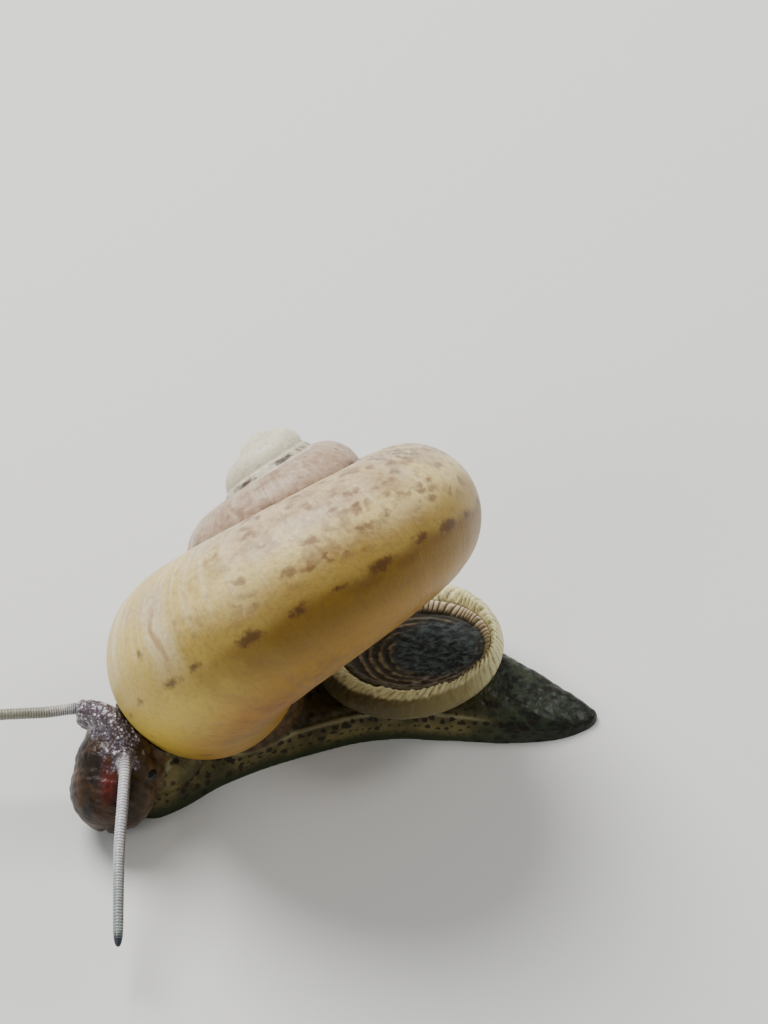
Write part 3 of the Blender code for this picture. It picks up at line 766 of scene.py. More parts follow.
for v in bm.verts:
    radius = math.hypot(v.co.x, v.co.y)
    if v.co.z > 0.2:
        outer = radius > INNER_TIER[1]
        uneven = noise.noise(Vector((v.co.x * 0.9, v.co.y * 0.9, 4.0)))
        angle = math.atan2(v.co.y, v.co.x) + TOOTH_SLANT * (radius - DISH_RADIUS)
        angle += 0.12 * uneven if outer else 0.16 * uneven + 0.03
        number = math.floor((MILL_TEETH * angle / math.pi + 1) / 2) % MILL_TEETH
        own = noise.cell(Vector((number + 0.5, 9.5 if outer else 3.5, 0.5)))
        tooth = 0.5 + 0.5 * math.cos(MILL_TEETH * angle + 0.5 * own)
        v[tooth_of] = tooth
        end = OUTER_TIER[1] - OUTER_SHORTER * v.co.y / max(radius, 1.0) + OUTER_UNEVEN * own
        teeth = INNER_TOOTH * tier(radius, *INNER_TIER) + OUTER_TOOTH * tier(radius, OUTER_TIER[0], end)
        lift = (tooth ** 0.7 * (0.9 + 0.5 * own) - 0.55) * teeth
        lift += 0.05 * eased(radius, 2.3, 2.5) * noise.fractal(v.co * 3.1, 0.8, 2.1, 3)
        phase, shows = lamella(v.co.x, v.co.y)
        phase += 0.35 * noise.noise(Vector((v.co.x * 0.9, v.co.y * 0.9, 2.0)))
        rise = (phase % 1.0) ** 2
        if phase % 1.0 >= LAMELLA_CREST:
            rise = 0.74 * (1 - (phase % 1.0 - LAMELLA_CREST) / 0.14)
        v[ridge_of] = rise * shows
        lift += LAMELLA_HEIGHT * rise * shows
        fibres = noise.fractal(Vector((v.co.x * 2.6, v.co.y * 5.0, 0.0)), 0.7, 2.1, 4) * FIBRE_DEPTH
        v.co.z += lift + fibres * (1 - eased(radius, 1.5, 2.0))
    v.co.z += 0.025 * noise.noise(v.co * 0.9 + Vector((3.0, 0.0, 0.0)))
    inward = (1 - eased(radius, 2.1, 2.98)) * eased(v.co.z, 0.0, 0.25)
    v.co.x += DISH_SHIFT[0] * inward
    v.co.y += (DISH_SHIFT[1] - DISH_NARROW * v.co.y) * inward
for face in bm.faces:
    for loop in face.loops:
        loop[dial].uv = dials[loop.vert]
bmesh.ops.transform(bm, matrix=lid_frame, verts=bm.verts)
lid = finished("operculum_disc", bm)
lid_mesh = lid.data
lid_mesh.shade_smooth()

RIM_CREAM = paint(255, 248, 184)
RIM_OLIVE = paint(124, 112, 66)
RIM_SHADE = paint(62, 52, 24)
TOOTH_GAP = paint(128, 112, 80)
TOOTH_PINK = paint(252, 232, 196)
TOOTH_SHADE_GREY = paint(180, 172, 124)
CORE_BLACK = paint(26, 32, 36)
CORE_BLUE = paint(78, 92, 92)
LAMELLA_BROWN = paint(134, 118, 88)
FIBRE_LILAC = paint(150, 138, 132)
GROOVE_DARK = paint(46, 40, 28)

lid_finish, tree, shader = shaded("operculum_horn")
dial_spot = unwrapped(tree, "dial")
dial_x, dial_y, _ = three_of(tree, dial_spot)
radius = vector_math(tree, "LENGTH", dial_spot)
ridge, tooth, wall = (attribute(tree, name) for name in ("ridge", "tooth", "wall"))
fibre = noisy(tree, vector_math(tree, "MULTIPLY", dial_spot, (2.6, 4.2, 1.0)), 1.1, 5.0, 0.62)
patch = noisy(tree, dial_spot, 1.3, 3.0)
to_nucleus = vector_math(tree, "DISTANCE", dial_spot, (*NUCLEUS, 0.0))
from_nucleus = scaled(tree, sums(tree, "SUBTRACT", patch, 0.5), 1.2, to_nucleus)
rim_grain = noisy(tree, dial_spot, 6.0, 4.0, 0.65)

# Painted shade: the cream rim turns grey towards the near side, which faces away from the light.
rim = coated(tree, RIM_CREAM, TOOTH_SHADE_GREY, step_up(tree, dial_y, 0.3, 1.9), 0.85)
gaps = step_up(tree, tooth, 0.50, 0.05)
colour = coated(tree, rim, TOOTH_GAP, gaps, step_up(tree, rim_grain, 0.66, 0.40), 0.85)
# The outer wall is olive, its own colour, with painted shade that makes it strongest towards the near-left
# side under the shell.
near_left_shade = step_up(tree, scaled(tree, dial_y, 0.8, dial_x), -1.6, 0.6)
wall_share = scaled(tree, sums(tree, "SUBTRACT", patch, 0.5), 0.7, wall)
wall_share = scaled(tree, sums(tree, "SUBTRACT", rim_grain, 0.5), 0.8, wall_share)
olive = product(tree, step_up(tree, wall_share, 0.10, 0.60), scaled(tree, near_left_shade, 0.70, 0.30))
colour = coated(tree, colour, RIM_OLIVE, olive)
shade = step_up(tree, scaled(tree, dial_y, 0.4, dial_x), -0.6, 2.4)
colour = coated(tree, colour, RIM_SHADE, olive, shade, 0.8)
colour = coated(tree, colour, TOOTH_GAP, step_up(tree, rim_grain, 0.46, 0.34), 0.35)
# Painted shade: the inner tier's teeth are pink on the far side and grey on the near side.
crown = tinted(tree, step_up(tree, dial_y, -1.2, 0.8), TOOTH_PINK, TOOTH_SHADE_GREY)
inner = tinted(tree, step_up(tree, tooth, 0.10, 0.55), TOOTH_GAP, crown)
# Painted shade: the inner tier's teeth darken to the groove colour on the near side, under the shell.
shaded_near_side = step_up(tree, scaled(tree, dial_x, 0.5, dial_y), 0.3, 1.4)
inner = coated(tree, inner, GROOVE_DARK, shaded_near_side, 0.85)
colour = coated(tree, colour, inner, step_up(tree, radius, 2.41, 2.36))
dish = tinted(tree, step_up(tree, ridge, 0.15, 0.60), GROOVE_DARK, LAMELLA_BROWN)
core = tinted(tree, step_up(tree, fibre, 0.42, 0.62), CORE_BLACK, CORE_BLUE)
dish = coated(tree, dish, GROOVE_DARK, step_up(tree, fibre, 0.54, 0.40), 0.6)
lilac_side = step_up(tree, sums(tree, "SUBTRACT", dial_y, dial_x), 0.4, 1.8)
dish = coated(tree, dish, FIBRE_LILAC, step_up(tree, fibre, 0.50, 0.66), lilac_side, 0.7)
dish = coated(tree, dish, core, step_up(tree, from_nucleus, 1.75, 1.15))
colour = coated(tree, colour, dish, step_up(tree, radius, 2.18, 2.06))
groove = product(tree, step_up(tree, radius, 2.33, 2.37), step_up(tree, radius, 2.43, 2.39), 0.6)
colour = coated(tree, colour, GROOVE_DARK, groove)
tree.links.new(colour, shader.inputs["Base Color"])
relief = raised(tree, fibre, 0.06 * MM, 0.9, raised(tree, rim_grain, 0.05 * MM, 0.7))
tree.links.new(relief, shader.inputs["Normal"])
settings(shader.inputs, {"Roughness": 0.48, "Specular IOR Level": 0.35})
lid_mesh.materials.append(lid_finish)
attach(lid, "root")
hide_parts("operculum")

# The soft body: one wet skin over foot, stalk, neck, head, snout and feelers. The foot is a
# flat-soled wedge that ends in a pointed tail, the head a blunt snout under a granular brow
# that joins the roots of the two feelers. Drawn in millimetres, and brought to size at the end.
FOOT_STATIONS = (                   # x, y of the middle line, half width, height
    (-7.97, -0.42, 0.10, 0.10), (-7.60, -0.38, 0.50, 0.36), (-6.60, -0.48, 1.00, 0.66),
    (-5.20, -0.85, 1.48, 0.95), (-3.60, -1.35, 1.86, 1.12), (-1.90, -1.60, 1.98, 1.15),
    (-0.20, -1.45, 2.00, 1.15), (1.50, -0.85, 1.90, 1.15), (3.20, -0.20, 1.88, 1.12),
    (4.80, 0.65, 1.84, 1.02), (5.95, 1.65, 1.72, 0.86), (6.60, 2.33, 1.48, 0.68),
    (6.95, 2.70, 1.05, 0.48), (7.08, 2.85, 0.45, 0.28),
)
FOOT_SQUARE = 0.72
FOOT_SECTIONS, STALK_SECTIONS, NECK_SECTIONS, BROW_SECTIONS = 90, 24, 16, 24
SOLE_EDGE = (1.045, 0.32)           # of the thin margin: share of the foot's width, height
STALK_STATIONS = (                  # x, y, z of the middle, half length, half width
    (3.00, 0.00, 0.60, 1.95, 1.60), (3.05, 0.00, 1.40, 1.95, 1.55), (3.30, 0.05, 2.10, 2.00, 1.60),
    (3.75, 0.10, 2.90, 2.10, 1.75), (4.05, 0.20, 3.60, 1.90, 1.70), (4.20, 0.30, 4.30, 1.50, 1.40),
)
STALK_TURN = math.radians(30.0)
NECK_STATIONS = (                   # x, y, z of the middle, half width, half height
    (3.60, 0.30, 1.75, 1.45, 0.85), (4.70, 0.80, 1.65, 1.42, 0.90), (5.70, 1.25, 1.75, 1.36, 1.00),
    (6.50, 1.70, 1.95, 1.18, 1.05),
)
HEAD_LUMPS = (                      # middle, half length, width and height, heading
    ("head_lump", (6.75, 2.15, 2.05), (1.15, 1.15, 1.20), 46.0),
    ("snout_lump", (6.98, 3.34, 1.42), (1.34, 1.32, 1.32), 78.0),
    ("face_lump", (6.90, 2.75, 1.85), (1.26, 1.26, 1.20), 78.0),
    ("cheek_lump", (5.60, 1.95, 1.15), (1.75, 1.15, 0.98), 38.0),
)
MOUTH_WAY = Vector((0.132, 0.620, -0.773))  # from the middle of the snout to the mouth
BROW = ((6.58, 3.05, 2.62), (6.68, 2.60, 2.92), (6.98, 2.05, 3.14), (7.50, 1.62, 3.02), (8.05, 1.40, 2.84))
BROW_RADIUS = 0.40
EYE_RADIUS = 0.26
RIGHT_EYE = Vector((7.95, 0.85, 2.05)) * MM
EYE_SWELLING, EYE_SINK = 0.46, 0.26
LEFT_FEELER = (
    (6.80, 2.30, 2.55), (6.52, 3.05, 2.90), (6.52, 4.60, 2.75),
    (6.57, 6.20, 2.38), (6.54, 7.70, 2.00), (6.50, 9.07, 1.60),
)
RIGHT_FEELER = (
    (7.25, 1.75, 2.50), (7.95, 1.45, 2.92), (9.04, 1.62, 3.00),
    (10.5, 1.72, 3.00), (12.2, 1.85, 2.85), (13.9, 2.05, 2.60),
)
FEELER_ROOT, FEELER_MIDDLE, FEELER_TIP = 0.27, 0.175, 0.15
FEELER_WRINKLE, WRINKLE_PITCH, WRINKLE_STEPS = 0.045, 0.080, 6
VOXEL = 0.07
PAD_DEPTH, PAD_BELOW = 0.06, 0.9    # room under the operculum, and how far down flesh makes it
PAD_FLAT, PAD_REACH, PAD_SLOPE = 3.08, 3.25, 4.0    # the room's radius, and that of its sloping edge
ATTACHED, ATTACHED_GAP = (1.5, 1.95), 0.01          # radius where the flesh reaches up to the lid
CREASE_ANGLE = 0.72                 # of the crease along the foot's side, up from the sole's edge
SIDE_SPAN = 1.5                     # millimetres round the foot's side for an angle of 1
CHEEK_FOLD = (                      # edge of the spotted skin
    (5.02, 2.68, 2.26), (5.25, 2.68, 1.85), (5.40, 2.87, 1.75), (5.64, 3.15, 1.61),
)
FOLD_STATION, FOLD_TOP, FOLD_SLOPE = 10, 2.26, 1.1  # the same edge: station, height, run per height
FOOT_STEPS = 240                    # to find the nearest place along the foot or a feeler
SNOUT_FOLDS, MOUTH_DEPTH = 0.30, 0.12               # spacing of the folds that ring the snout
SKIN_LUMPS, SKIN_FOLDS, BROW_GRAINS = 3.2, 1.1, 5.5  # of each per millimetre
LUMP_RELIEF, FOLD_RELIEF, BROW_RELIEF = 0.045, 0.03, 0.10
CREASE_RELIEF, UNDER_CREASE_DEPTH = 0.035, 0.04


def level_place(centre, ahead, width, height):
    """Carries a circle of radius 1 to an ellipse across a line that runs ahead, its height upwards."""
    left = Vector((0, 0, 1)).cross(ahead).normalized()
    place = Matrix((left * width, ahead.cross(left) * height, ahead)).transposed().to_4x4()
    place.translation = centre
    return place


def along(points, share):
    """The direction of the smooth curve there."""
    before, after = (Vector(through(points, share + step)[:3]) for step in (-0.01, 0.01))
    return (after - before).normalized()


def swept(name, places, sides=40, square=1.0):
    """A closed skin drawn by a circle that goes from place to place."""
    bm = bmesh.new()
    ring = bmesh.ops.create_circle(bm, segments=sides, radius=1.0)["verts"]
    for v in ring:
        v.co.xy = [math.copysign(abs(c) ** square, c) for c in v.co.xy]
    extruded(bm, ring, places)
    close_ends(bm)
    return finished(name, bm)


def round_lump(name, centre, size, heading):
    bm = bmesh.new()
    turned = Matrix.Rotation(math.radians(heading), 4, "Z")
    bmesh.ops.create_uvsphere(
        bm, u_segments=48, v_segments=28, radius=1.0,
        matrix=Matrix.Translation(centre) @ turned @ Matrix.Diagonal((*size, 1.0)),
    )
    return finished(name, bm)


def foot_places(wider, height=None):
    line = [(s[0], s[1], 0.0) for s in FOOT_STATIONS]
    return [
        level_place(Vector((x, y, 0.0)), along(line, share), half * wider, height or tall)
        for share, (x, y, half, tall) in traced(FOOT_STATIONS, FOOT_SECTIONS)
    ]


def feeler_radius(share):
    """Thick at the root, then an even taper."""
    root = FEELER_ROOT + (FEELER_MIDDLE - FEELER_ROOT) * eased(share, 0.0, 0.3)
    return root + (FEELER_TIP - FEELER_MIDDLE) * max((share - 0.3) / 0.7, 0.0) ** 2


def feeler_places(points):
    """Sections close enough together for the wrinkles that ring a feeler."""
    length = sum((Vector(a) - Vector(b)).length for a, b in zip(points, points[1:]))
    count = round(length / WRINKLE_PITCH * WRINKLE_STEPS)
    places = []
    for k, (share, middle) in enumerate(traced(points, count)):
        wave = math.cos(2 * math.pi * k / WRINKLE_STEPS)
        wrinkle = 1 + FEELER_WRINKLE * wave * (1 - eased(share, 0.94, 1.0))
        end = math.sqrt(max(1 - max((share - 0.90) / 0.10, 0.0) ** 2, 0.02))
        radius = feeler_radius(share) * wrinkle * end
        places.append(level_place(Vector(middle), along(points, share), radius, radius))
    return places


to_drawing = Matrix.Scale(1 / MM, 4) @ placed.inverted()
parts = [
    swept("foot_body", foot_places(1.0), square=FOOT_SQUARE),
    swept("foot_margin", foot_places(*SOLE_EDGE), square=FOOT_SQUARE),
]
stalk_turn = Matrix.Rotation(STALK_TURN, 4, "Z")
parts.append(swept("stalk", [
    Matrix.Translation((x, y, z)) @ stalk_turn @ Matrix.Diagonal((length, width, 1.0, 1.0))
    for _, (x, y, z, length, width) in traced(STALK_STATIONS, STALK_SECTIONS)
]))
neck_line = [s[:3] for s in NECK_STATIONS]
parts.append(swept("neck_body", [
    level_place(Vector((x, y, z)), along(neck_line, share), width, height)
    for share, (x, y, z, width, height) in traced(NECK_STATIONS, NECK_SECTIONS)
]))
for name, centre, size, heading in HEAD_LUMPS:
    parts.append(round_lump(name, centre, size, heading))
brows = []
for k, (share, middle) in enumerate(traced(BROW, BROW_SECTIONS)):
    radius = BROW_RADIUS * (0.75 + 0.25 * math.sin(math.pi * k / BROW_SECTIONS))
    brows.append(level_place(Vector(middle), along(BROW, share), radius, radius))
parts.append(swept("brow", brows, sides=20))
for k, eye in enumerate((LEFT_EYE / MM, RIGHT_EYE / MM)):
    inward = (Vector(HEAD_LUMPS[0][1]) - eye).normalized()
    parts.append(round_lump(f"eye_bulge_{k}", eye + inward * EYE_SINK, (EYE_SWELLING,) * 3, 0.0))

skin = parts[0]
with bpy.context.temp_override(active_object=skin, selected_editable_objects=parts):
    bpy.ops.object.join()
skin.name = "skin"
skin.data.name = "skin"
remesh = skin.modifiers.new("remesh", "REMESH")
remesh.mode = "VOXEL"
remesh.voxel_size = VOXEL
smooth = skin.modifiers.new("smooth", "SMOOTH")
smooth.factor = 0.5
smooth.iterations = 14
joined(skin, [], "UNION")
bm = bmesh.new()
bm.from_mesh(skin.data)
bmesh.ops.bisect_plane(
    bm, geom=bm.verts[:] + bm.edges[:] + bm.faces[:], plane_co=(0, 0, 0), plane_no=(0, 0, 1), dist=1e-4,
    clear_inner=True,
)
close_ends(bm)
bm.to_mesh(skin.data)
bm.free()

SKIN_CLEARS = 0.04 * MM             # from the shell
COLLAR_EDGE = ((0.002, 0.985), (0.005, 0.95), (0.008, 0.88), (0.0095, 0.78))    # turns, share of the radius
room = coil_tube("shell_room", spread(-0.36, 0.0, 80), SKIN_CLEARS)
collar_stops = [*spread(-0.045, -0.002, 160), *COLLAR_EDGE]
collar = coil_tube("mantle_collar", collar_stops, -LIP_WALL - SKIN_CLEARS)
for obj in (room, collar):
    obj.data.transform(to_drawing)
joined(skin, [room], "DIFFERENCE")
feelers = [
    swept(name, feeler_places(points), sides=18)
    for name, points in (("feeler_left", LEFT_FEELER), ("feeler_right", RIGHT_FEELER))
]
joined(skin, [collar, *feelers], "UNION")


def nearest_on(points, count, places, flat=False):
    """For each place its share of a curve, the distance to it, and the curve's values there."""
    line = np.array([place for _, place in traced(points, count)])
    axes = 2 if flat else 3
    best = np.full(len(places), np.inf)
    found = np.zeros(len(places), int)
    for k, p in enumerate(line):
        away = np.linalg.norm(places[:, :axes] - p[:axes], axis=1)
        closer = away < best
        best[closer] = away[closer]
        found[closer] = k
    return found / count, best, line[found]


mesh = skin.data
count = len(mesh.vertices)
places = spots_of(mesh)
normals = np.array([v.normal for v in mesh.vertices])

share, _, here = nearest_on(FOOT_STATIONS, FOOT_STEPS, places, flat=True)
line = np.array([place for _, place in traced(FOOT_STATIONS, FOOT_STEPS)])
steps = np.gradient(line[:, :2], axis=0)
lefts = np.stack([-steps[:, 1], steps[:, 0]], 1) / np.linalg.norm(steps, axis=1)[:, None]
arc = np.concatenate([[0.0], np.cumsum(np.linalg.norm(np.diff(line[:, :2], axis=0), axis=1))])
index = np.round(share * FOOT_STEPS).astype(int)
across = np.einsum("ij,ij->i", places[:, :2] - here[:, :2], lefts[index]) / here[:, 2]
upward = places[:, 2] / here[:, 3]
power = 2 / FOOT_SQUARE
outside = (np.abs(across) ** power + np.abs(upward) ** power) ** (1 / power)
foot = np.maximum(1 - ease(outside, 1.06, 1.30), 1 - ease(places[:, 0], -7.2, -6.2))
side_angle = math.pi / 2 - np.abs(np.arctan2(upward, across) - math.pi / 2)
to_fold = arc[round(FOLD_STATION / (len(FOOT_STATIONS) - 1) * FOOT_STEPS)] - arc[index]
side_angle /= 1 + 0.8 * (1 - ease(to_fold, 0.4, 2.8))
apron = ease(to_fold + (FOLD_TOP - places[:, 2]) * FOLD_SLOPE, -0.05, 0.15)
apron *= (1 - ease(to_fold, 2.4, 3.0)) * (1 - ease(places[:, 2], FOLD_TOP, FOLD_TOP + 0.25))
tail = foot * (1 - ease(places[:, 0], -5.4, -3.2))
_, from_brow, _ = nearest_on(BROW, 40, places)
scattered = np.array([noise.noise(Vector(p) * 3.4) for p in places])
brow = 1 - ease(from_brow + 0.30 * scattered, 0.42, 0.66)
from_right_eye = np.linalg.norm(places - np.array(RIGHT_EYE / MM), axis=1)
brow = np.maximum(brow, 1 - ease(from_right_eye + 0.2 * scattered, 0.50, 0.80))
head = ease(places[:, 0], 5.7, 6.4) * (1 - foot)
_, snout_at, snout_size, snout_heading = HEAD_LUMPS[1]
snout_at, snout_heading = np.array(snout_at), math.radians(snout_heading)
snout = 1 - ease(np.linalg.norm((places - snout_at) / np.array(snout_size), axis=1), 1.04, 1.22)
apron *= 1 - snout
foot = np.maximum(foot, apron)
feeler = np.zeros(count)
feeler_share = np.zeros(count)
wrinkle = np.zeros(count)
for side, points in enumerate((LEFT_FEELER, RIGHT_FEELER)):
    share, away, _ = nearest_on(points, FOOT_STEPS, places)
    on_it = (1 - ease(away, 0.25, 0.31)) * ease(share, 0.20, 0.30)
    feeler = np.maximum(feeler, on_it)
    feeler_share = np.where(on_it > 0, side + share, feeler_share)
    thick = np.array([feeler_radius(s) for s in share])
    wrinkle = np.where(on_it > 0, 0.5 + 0.5 * (away / thick - 1) / FEELER_WRINKLE, wrinkle)
brow *= 1 - feeler
foot *= 1 - feeler

lumps = np.array([noise.voronoi(Vector(p) * SKIN_LUMPS)[0][0] for p in places])
grains = np.array([noise.voronoi(Vector(p) * BROW_GRAINS)[0][0] for p in places])
folds = np.array([noise.noise(Vector(p) * SKIN_FOLDS) for p in places])
upper = ease(places[:, 2], 0.02, 0.3)
on_side = foot * (1 - tail) * (1 - apron * (outside > 1.2))
crease = on_side * np.exp(-((side_angle - CREASE_ANGLE) / 0.045) ** 2)
_, from_fold, _ = nearest_on(CHEEK_FOLD, 60, places)
crease = np.maximum(crease, 1.3 * np.exp(-(from_fold / 0.10) ** 2))
rise = foot * upper * (LUMP_RELIEF * (0.4 - lumps) + FOLD_RELIEF * folds) + CREASE_RELIEF * crease
rise -= UNDER_CREASE_DEPTH * on_side * np.exp(-((side_angle - CREASE_ANGLE - 0.10) / 0.05) ** 2)
rise += brow * BROW_RELIEF * (0.40 - grains)
rise += (1 - foot) * (1 - feeler) * (1 - brow) * (0.020 * (0.4 - lumps) + 0.02 * folds)
from_snout = places - snout_at
ahead = from_snout @ np.array([math.cos(snout_heading), math.sin(snout_heading), -0.25])
rise += snout * (1 - brow) * 0.010 * np.cos(ahead * 2 * math.pi / SNOUT_FOLDS)
towards_mouth = ease(from_snout @ np.array(MOUTH_WAY) / np.linalg.norm(from_snout, axis=1), 0.78, 0.90)
beside_mouth = np.abs(from_snout @ np.array(MOUTH_WAY.cross(Vector((0, 0, 1))).normalized()))
mouth = snout * towards_mouth * np.exp(-(beside_mouth / 0.06) ** 2)
lips = np.exp(-((beside_mouth - 0.28) / 0.16) ** 2)
rise += snout * towards_mouth * 0.03 * lips - MOUTH_DEPTH * mouth
places = places + normals * (rise * (1 - feeler))[:, None]

to_lid = np.array(lid_frame.inverted() @ placed @ Matrix.Scale(MM, 4))
local = places @ to_lid[:3, :3].T + to_lid[:3, 3]
reach = np.linalg.norm(local[:, :2], axis=1)
under = (local[:, 2] > -PAD_BELOW) & (reach < PAD_REACH) & (normals[:, 2] > 0.0)
floor_of_room = np.where(reach < PAD_FLAT, -PAD_DEPTH, -PAD_DEPTH + (reach - PAD_FLAT) * PAD_SLOPE)
local[:, 2] = np.where(under, np.minimum(local[:, 2], floor_of_room), local[:, 2])
pad = under * (1 - ease(reach, *ATTACHED))
local[:, 2] = local[:, 2] * (1 - pad) - ATTACHED_GAP * pad
from_lid = np.linalg.inv(to_lid)
places = local @ from_lid[:3, :3].T + from_lid[:3, 3]
places[:, 2] = np.maximum(places[:, 2], 0.0)
mesh.vertices.foreach_set("co", places.ravel())
masks = {
    "foot": foot, "front": apron, "apron": apron * ease(outside, 1.15, 1.3), "tail": tail, "head": head,
    "brow": brow, "feeler": feeler, "feeler_share": feeler_share, "wrinkle": wrinkle, "crease": crease,
    "mouth": mouth, "shaded_side": ease(normals @ np.array((-0.9, 0.0, -0.43)), 0.10, 0.60),
}
for name, values in masks.items():
    record(mesh, name, values)
along_foot = np.stack([arc[index], side_angle * SIDE_SPAN, 5.0 * np.sign(across)], 1).astype(np.float32)
mesh.attributes.new("foot_map", "FLOAT_VECTOR", "POINT").data.foreach_set("vector", along_foot.ravel())
mesh.transform(placed @ Matrix.Scale(MM, 4))
mesh.shade_smooth()

FLESH_BROWN = paint(64, 42, 22)
FLESH_DARK = paint(28, 18, 10)
NECK_BROWN = paint(120, 92, 56)
SNOUT_RED = paint(104, 30, 26)
FOOT_OLIVE = paint(116, 104, 60)
FOOT_SHADE = paint(76, 70, 36)
FOOT_LOW_SHADE = paint(44, 52, 24)
FOOT_TOP_SHADE = paint(50, 42, 20)
TAIL_GREEN = paint(52, 60, 40)
TAIL_DARK = paint(16, 20, 12)
CREASE_PALE = paint(166, 158, 122)
SPOT_BLACK = paint(30, 18, 6)
BROW_GROUND, BROW_SILVER, BROW_GLINT = paint(78, 66, 72), paint(158, 146, 162), paint(236, 232, 240)
FEELER_GROOVE, FEELER_PALE = paint(134, 130, 134), paint(218, 216, 222)
FEELER_GREEN_CAST, FEELER_AMBER = paint(116, 130, 126), paint(112, 112, 78)
FEELER_BROWN, TIP_DARK = paint(98, 80, 60), paint(46, 50, 60)
GLOW_CENTRE, GLOW_RADIUS = Vector((7.02, 3.95, 2.60)) * MM, 1.05 * MM       # of the red in the snout
GLOW_NARROWED = Vector((2.6, 1.0, 1.0))

skin_finish, tree, shader = shaded("snail_skin")
spot = tree.nodes.new("ShaderNodeTexCoord").outputs["Object"]
zone = {name: attribute(tree, name) for name in masks}
foot_map = attribute(tree, "foot_map", "Vector")
foot_along, foot_up, _ = three_of(tree, foot_map)

mottle = noisy(tree, spot, 1500.0, 3.0)
fine = noisy(tree, spot, 6000.0, 3.0, 0.6)
rough = scaled(tree, noisy(tree, spot, 3200.0, 2.0), 0.30, -0.15)
colour = tinted(tree, step_up(tree, mottle, 0.40, 0.62), FLESH_DARK, FLESH_BROWN)
colour = coated(tree, colour, NECK_BROWN, sums(tree, "SUBTRACT", 1.0, zone["head"]), 0.6)
pebbles, _ = cells(tree, spot, 3800.0)
between = step_up(tree, sums(tree, "ADD", pebbles, rough), 0.36, 0.78)
colour = coated(tree, colour, FLESH_DARK, between, scaled(tree, zone["head"], -0.45, 0.60))
narrowed = vector_math(tree, "MULTIPLY", spot, GLOW_NARROWED)
from_glow = vector_math(tree, "DISTANCE", narrowed, (placed @ GLOW_CENTRE) * GLOW_NARROWED)
colour = coated(tree, colour, SNOUT_RED, step_up(tree, from_glow, GLOW_RADIUS, 0.0), 0.72)
colour = coated(tree, colour, FLESH_DARK, zone["mouth"], 0.85)

ground = tinted(tree, step_up(tree, mottle, 0.35, 0.62), FOOT_SHADE, FOOT_OLIVE)
# Painted shade and painted green reflected light: the foot's side turns dark green towards the sole.
ground = coated(tree, ground, FOOT_LOW_SHADE, step_up(tree, scaled(tree, rough, 0.8, foot_up), 0.62, 0.12))
# Painted shade: above the crease the top of the foot goes dark, as under the operculum and the shell, less so
# on the spotted apron.
top_shade_share = scaled(tree, zone["apron"], -0.7, 0.8)
ground = coated(tree, ground, FOOT_TOP_SHADE, step_up(tree, foot_up, 1.10, 1.35), top_shade_share)
ragged = scaled(tree, noisy(tree, spot, 7000.0, 3.0, 0.7), 0.60, -0.30)
net, _ = cells(tree, foot_map, 3.0)
blotch = sums(tree, "ADD", net, sums(tree, "ADD", rough, ragged))
tail_ground = tinted(tree, step_up(tree, blotch, 0.20, 0.66), TAIL_DARK, TAIL_GREEN)
tail_ground = coated(tree, tail_ground, TAIL_DARK, step_up(tree, foot_along, 3.0, 0.2), 0.7)
ground = coated(tree, ground, tail_ground, zone["tail"])
ground = coated(tree, ground, CREASE_PALE, step_up(tree, zone["crease"], 0.15, 0.9), 0.6)
off_apron = sums(tree, "SUBTRACT", 1.0, zone["apron"])
for per_mm, over_crease, uneven, small, large, share in (
    (2.7, -0.15, 0.45, 0.24, 0.48, 0.92), (3.2, -0.42, 0.80, 0.14, 0.42, 0.88),
    (3.8, -0.68, 1.00, 0.02, 0.32, 0.75), (3.0, 0.16, 0.60, 0.10, 0.36, 0.80),
):
    from_row = sums(tree, "SUBTRACT", foot_up, CREASE_ANGLE * SIDE_SPAN + over_crease)
    past_spot = spots_in_row(
        tree, Count=product(tree, foot_along, per_mm), Across=product(tree, from_row, per_mm * 1.4),
        Uneven=uneven, Small=small, Large=large, Rough=ragged,
    )
    ground = coated(tree, ground, SPOT_BLACK, step_up(tree, past_spot, 0.08, -0.06), off_apron, share)
spots, chance = cells(tree, spot, 2900.0)
loose = step_up(tree, sums(tree, "ADD", spots, ragged), 0.37, 0.25)
up_front = sums(tree, "MAXIMUM", zone["front"], step_up(tree, foot_up, 1.2, 1.4))
ground = coated(tree, ground, SPOT_BLACK, loose, step_up(tree, chance, 0.9, 0.8), up_front, 0.85)
colour = coated(tree, colour, ground, zone["foot"])

grain, grain_chance = cells(tree, spot, 9500.0)
grain_top = step_up(tree, grain, 0.62, 0.20)
silver = coated(tree, BROW_GROUND, BROW_SILVER, grain_top, scaled(tree, grain_chance, 0.8, 0.2))
silver = coated(tree, silver, BROW_GLINT, grain_top, step_up(tree, grain_chance, 0.78, 0.92))
colour = coated(tree, colour, silver, zone["brow"])
ringed = sums(tree, "ADD", zone["wrinkle"], rough)
silver = tinted(tree, step_up(tree, ringed, 0.0, 0.6), FEELER_GROOVE, FEELER_PALE)
outer_part = sums(tree, "FRACT", zone["feeler_share"])
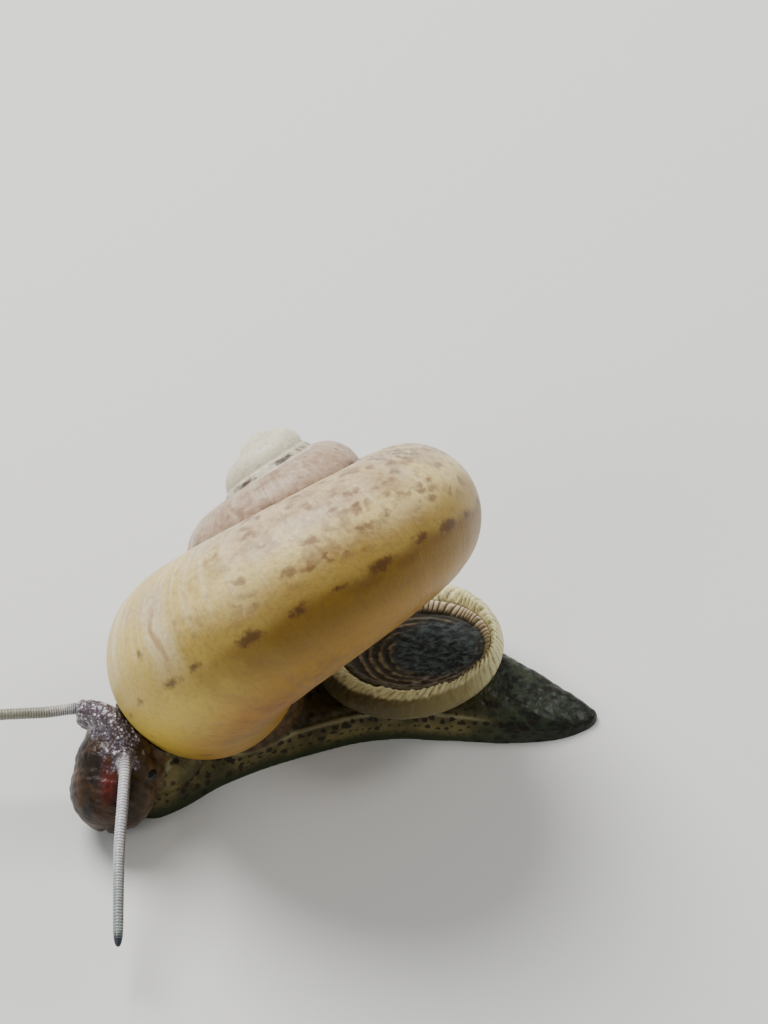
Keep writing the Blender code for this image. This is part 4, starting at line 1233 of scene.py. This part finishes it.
# Painted green reflected light and shade: the outer half of each feeler turns a darker grey-green.
silver = coated(tree, silver, FEELER_GREEN_CAST, step_up(tree, outer_part, 0.45, 0.85), 0.8)
right_one = step_up(tree, zone["feeler_share"], 1.20, 1.45)
silver = coated(tree, silver, FEELER_AMBER, right_one, 0.75)
silver = coated(tree, silver, FEELER_BROWN, zone["shaded_side"], 0.8)
silver = coated(tree, silver, TIP_DARK, step_up(tree, outer_part, 0.91, 0.96))
colour = coated(tree, colour, silver, zone["feeler"])
tree.links.new(colour, shader.inputs["Base Color"])
granular = product(tree, grain_top, scaled(tree, zone["brow"], 0.9, 0.1))
pebbly = raised(tree, pebbles, -0.05 * MM, 0.6, raised(tree, mottle, 0.04 * MM, 0.5))
tree.links.new(raised(tree, granular, 0.06 * MM, 0.8, pebbly), shader.inputs["Normal"])
tree.links.new(scaled(tree, fine, 0.3, 0.25), shader.inputs["Roughness"])
wet = sums(tree, "MAXIMUM", zone["brow"], zone["feeler"])
tree.links.new(scaled(tree, wet, 0.55, 0.06), shader.inputs["Coat Weight"])
settings(shader.inputs, {
    "Coat Roughness": 0.12, "Specular IOR Level": 0.25,
    "Subsurface Weight": 0.15, "Subsurface Radius": (1.0, 0.4, 0.2), "Subsurface Scale": 0.3 * MM,
})
mesh.materials.clear()
mesh.materials.append(skin_finish)
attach(skin, "root")
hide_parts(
    "foot_front", "foot_middle", "tail", "body_stalk", "mantle_edge", "neck", "head", "snout",
    "tentacle_left_root", "tentacle_left_tip", "tentacle_right_root", "tentacle_right_tip",
)

# The eyes: one small black bead at the outer side of each feeler's root, half sunk in its
# swelling, with a clear domed cornea over a dark iris.
CORNEA_RISE = 0.10                  # share of the radius that the dome stands proud
EYE_RIM, EYE_BLACK = paint(58, 44, 38), paint(5, 5, 6)
eye_finish, tree, shader = shaded("eye_black")
outward = attribute(tree, "outward")
iris = noisy(tree, tree.nodes.new("ShaderNodeTexCoord").outputs["Object"], 9000.0, 2.0)
edge = sums(tree, "ADD", outward, sums(tree, "MULTIPLY", sums(tree, "SUBTRACT", iris, 0.5), 0.3))
colour = tinted(tree, step_up(tree, edge, 0.25, -0.05), EYE_BLACK, EYE_RIM)
tree.links.new(colour, shader.inputs["Base Color"])
settings(shader.inputs, {
    "Roughness": 0.12, "Specular IOR Level": 0.25, "Coat Weight": 0.4, "Coat Roughness": 0.02,
})

for name, centre in (("eye_left", LEFT_EYE / MM), ("eye_right", RIGHT_EYE / MM)):
    out_way = (centre - Vector(HEAD_LUMPS[0][1])).normalized()
    bm = bmesh.new()
    bmesh.ops.create_uvsphere(bm, u_segments=48, v_segments=32, radius=EYE_RADIUS)
    outward_of = bm.verts.layers.float.new("outward")
    for v in bm.verts:
        v[outward_of] = v.co.normalized().dot(out_way)
        v.co += v.co * CORNEA_RISE * eased(v[outward_of], 0.55, 1.0)
    bmesh.ops.translate(bm, vec=centre, verts=bm.verts)
    bmesh.ops.transform(bm, matrix=placed @ Matrix.Scale(MM, 4), verts=bm.verts)
    bead = finished(f"{name}_bead", bm)
    bead.data.shade_smooth()
    bead.data.materials.append(eye_finish)
    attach(bead, "root")
    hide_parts(name)
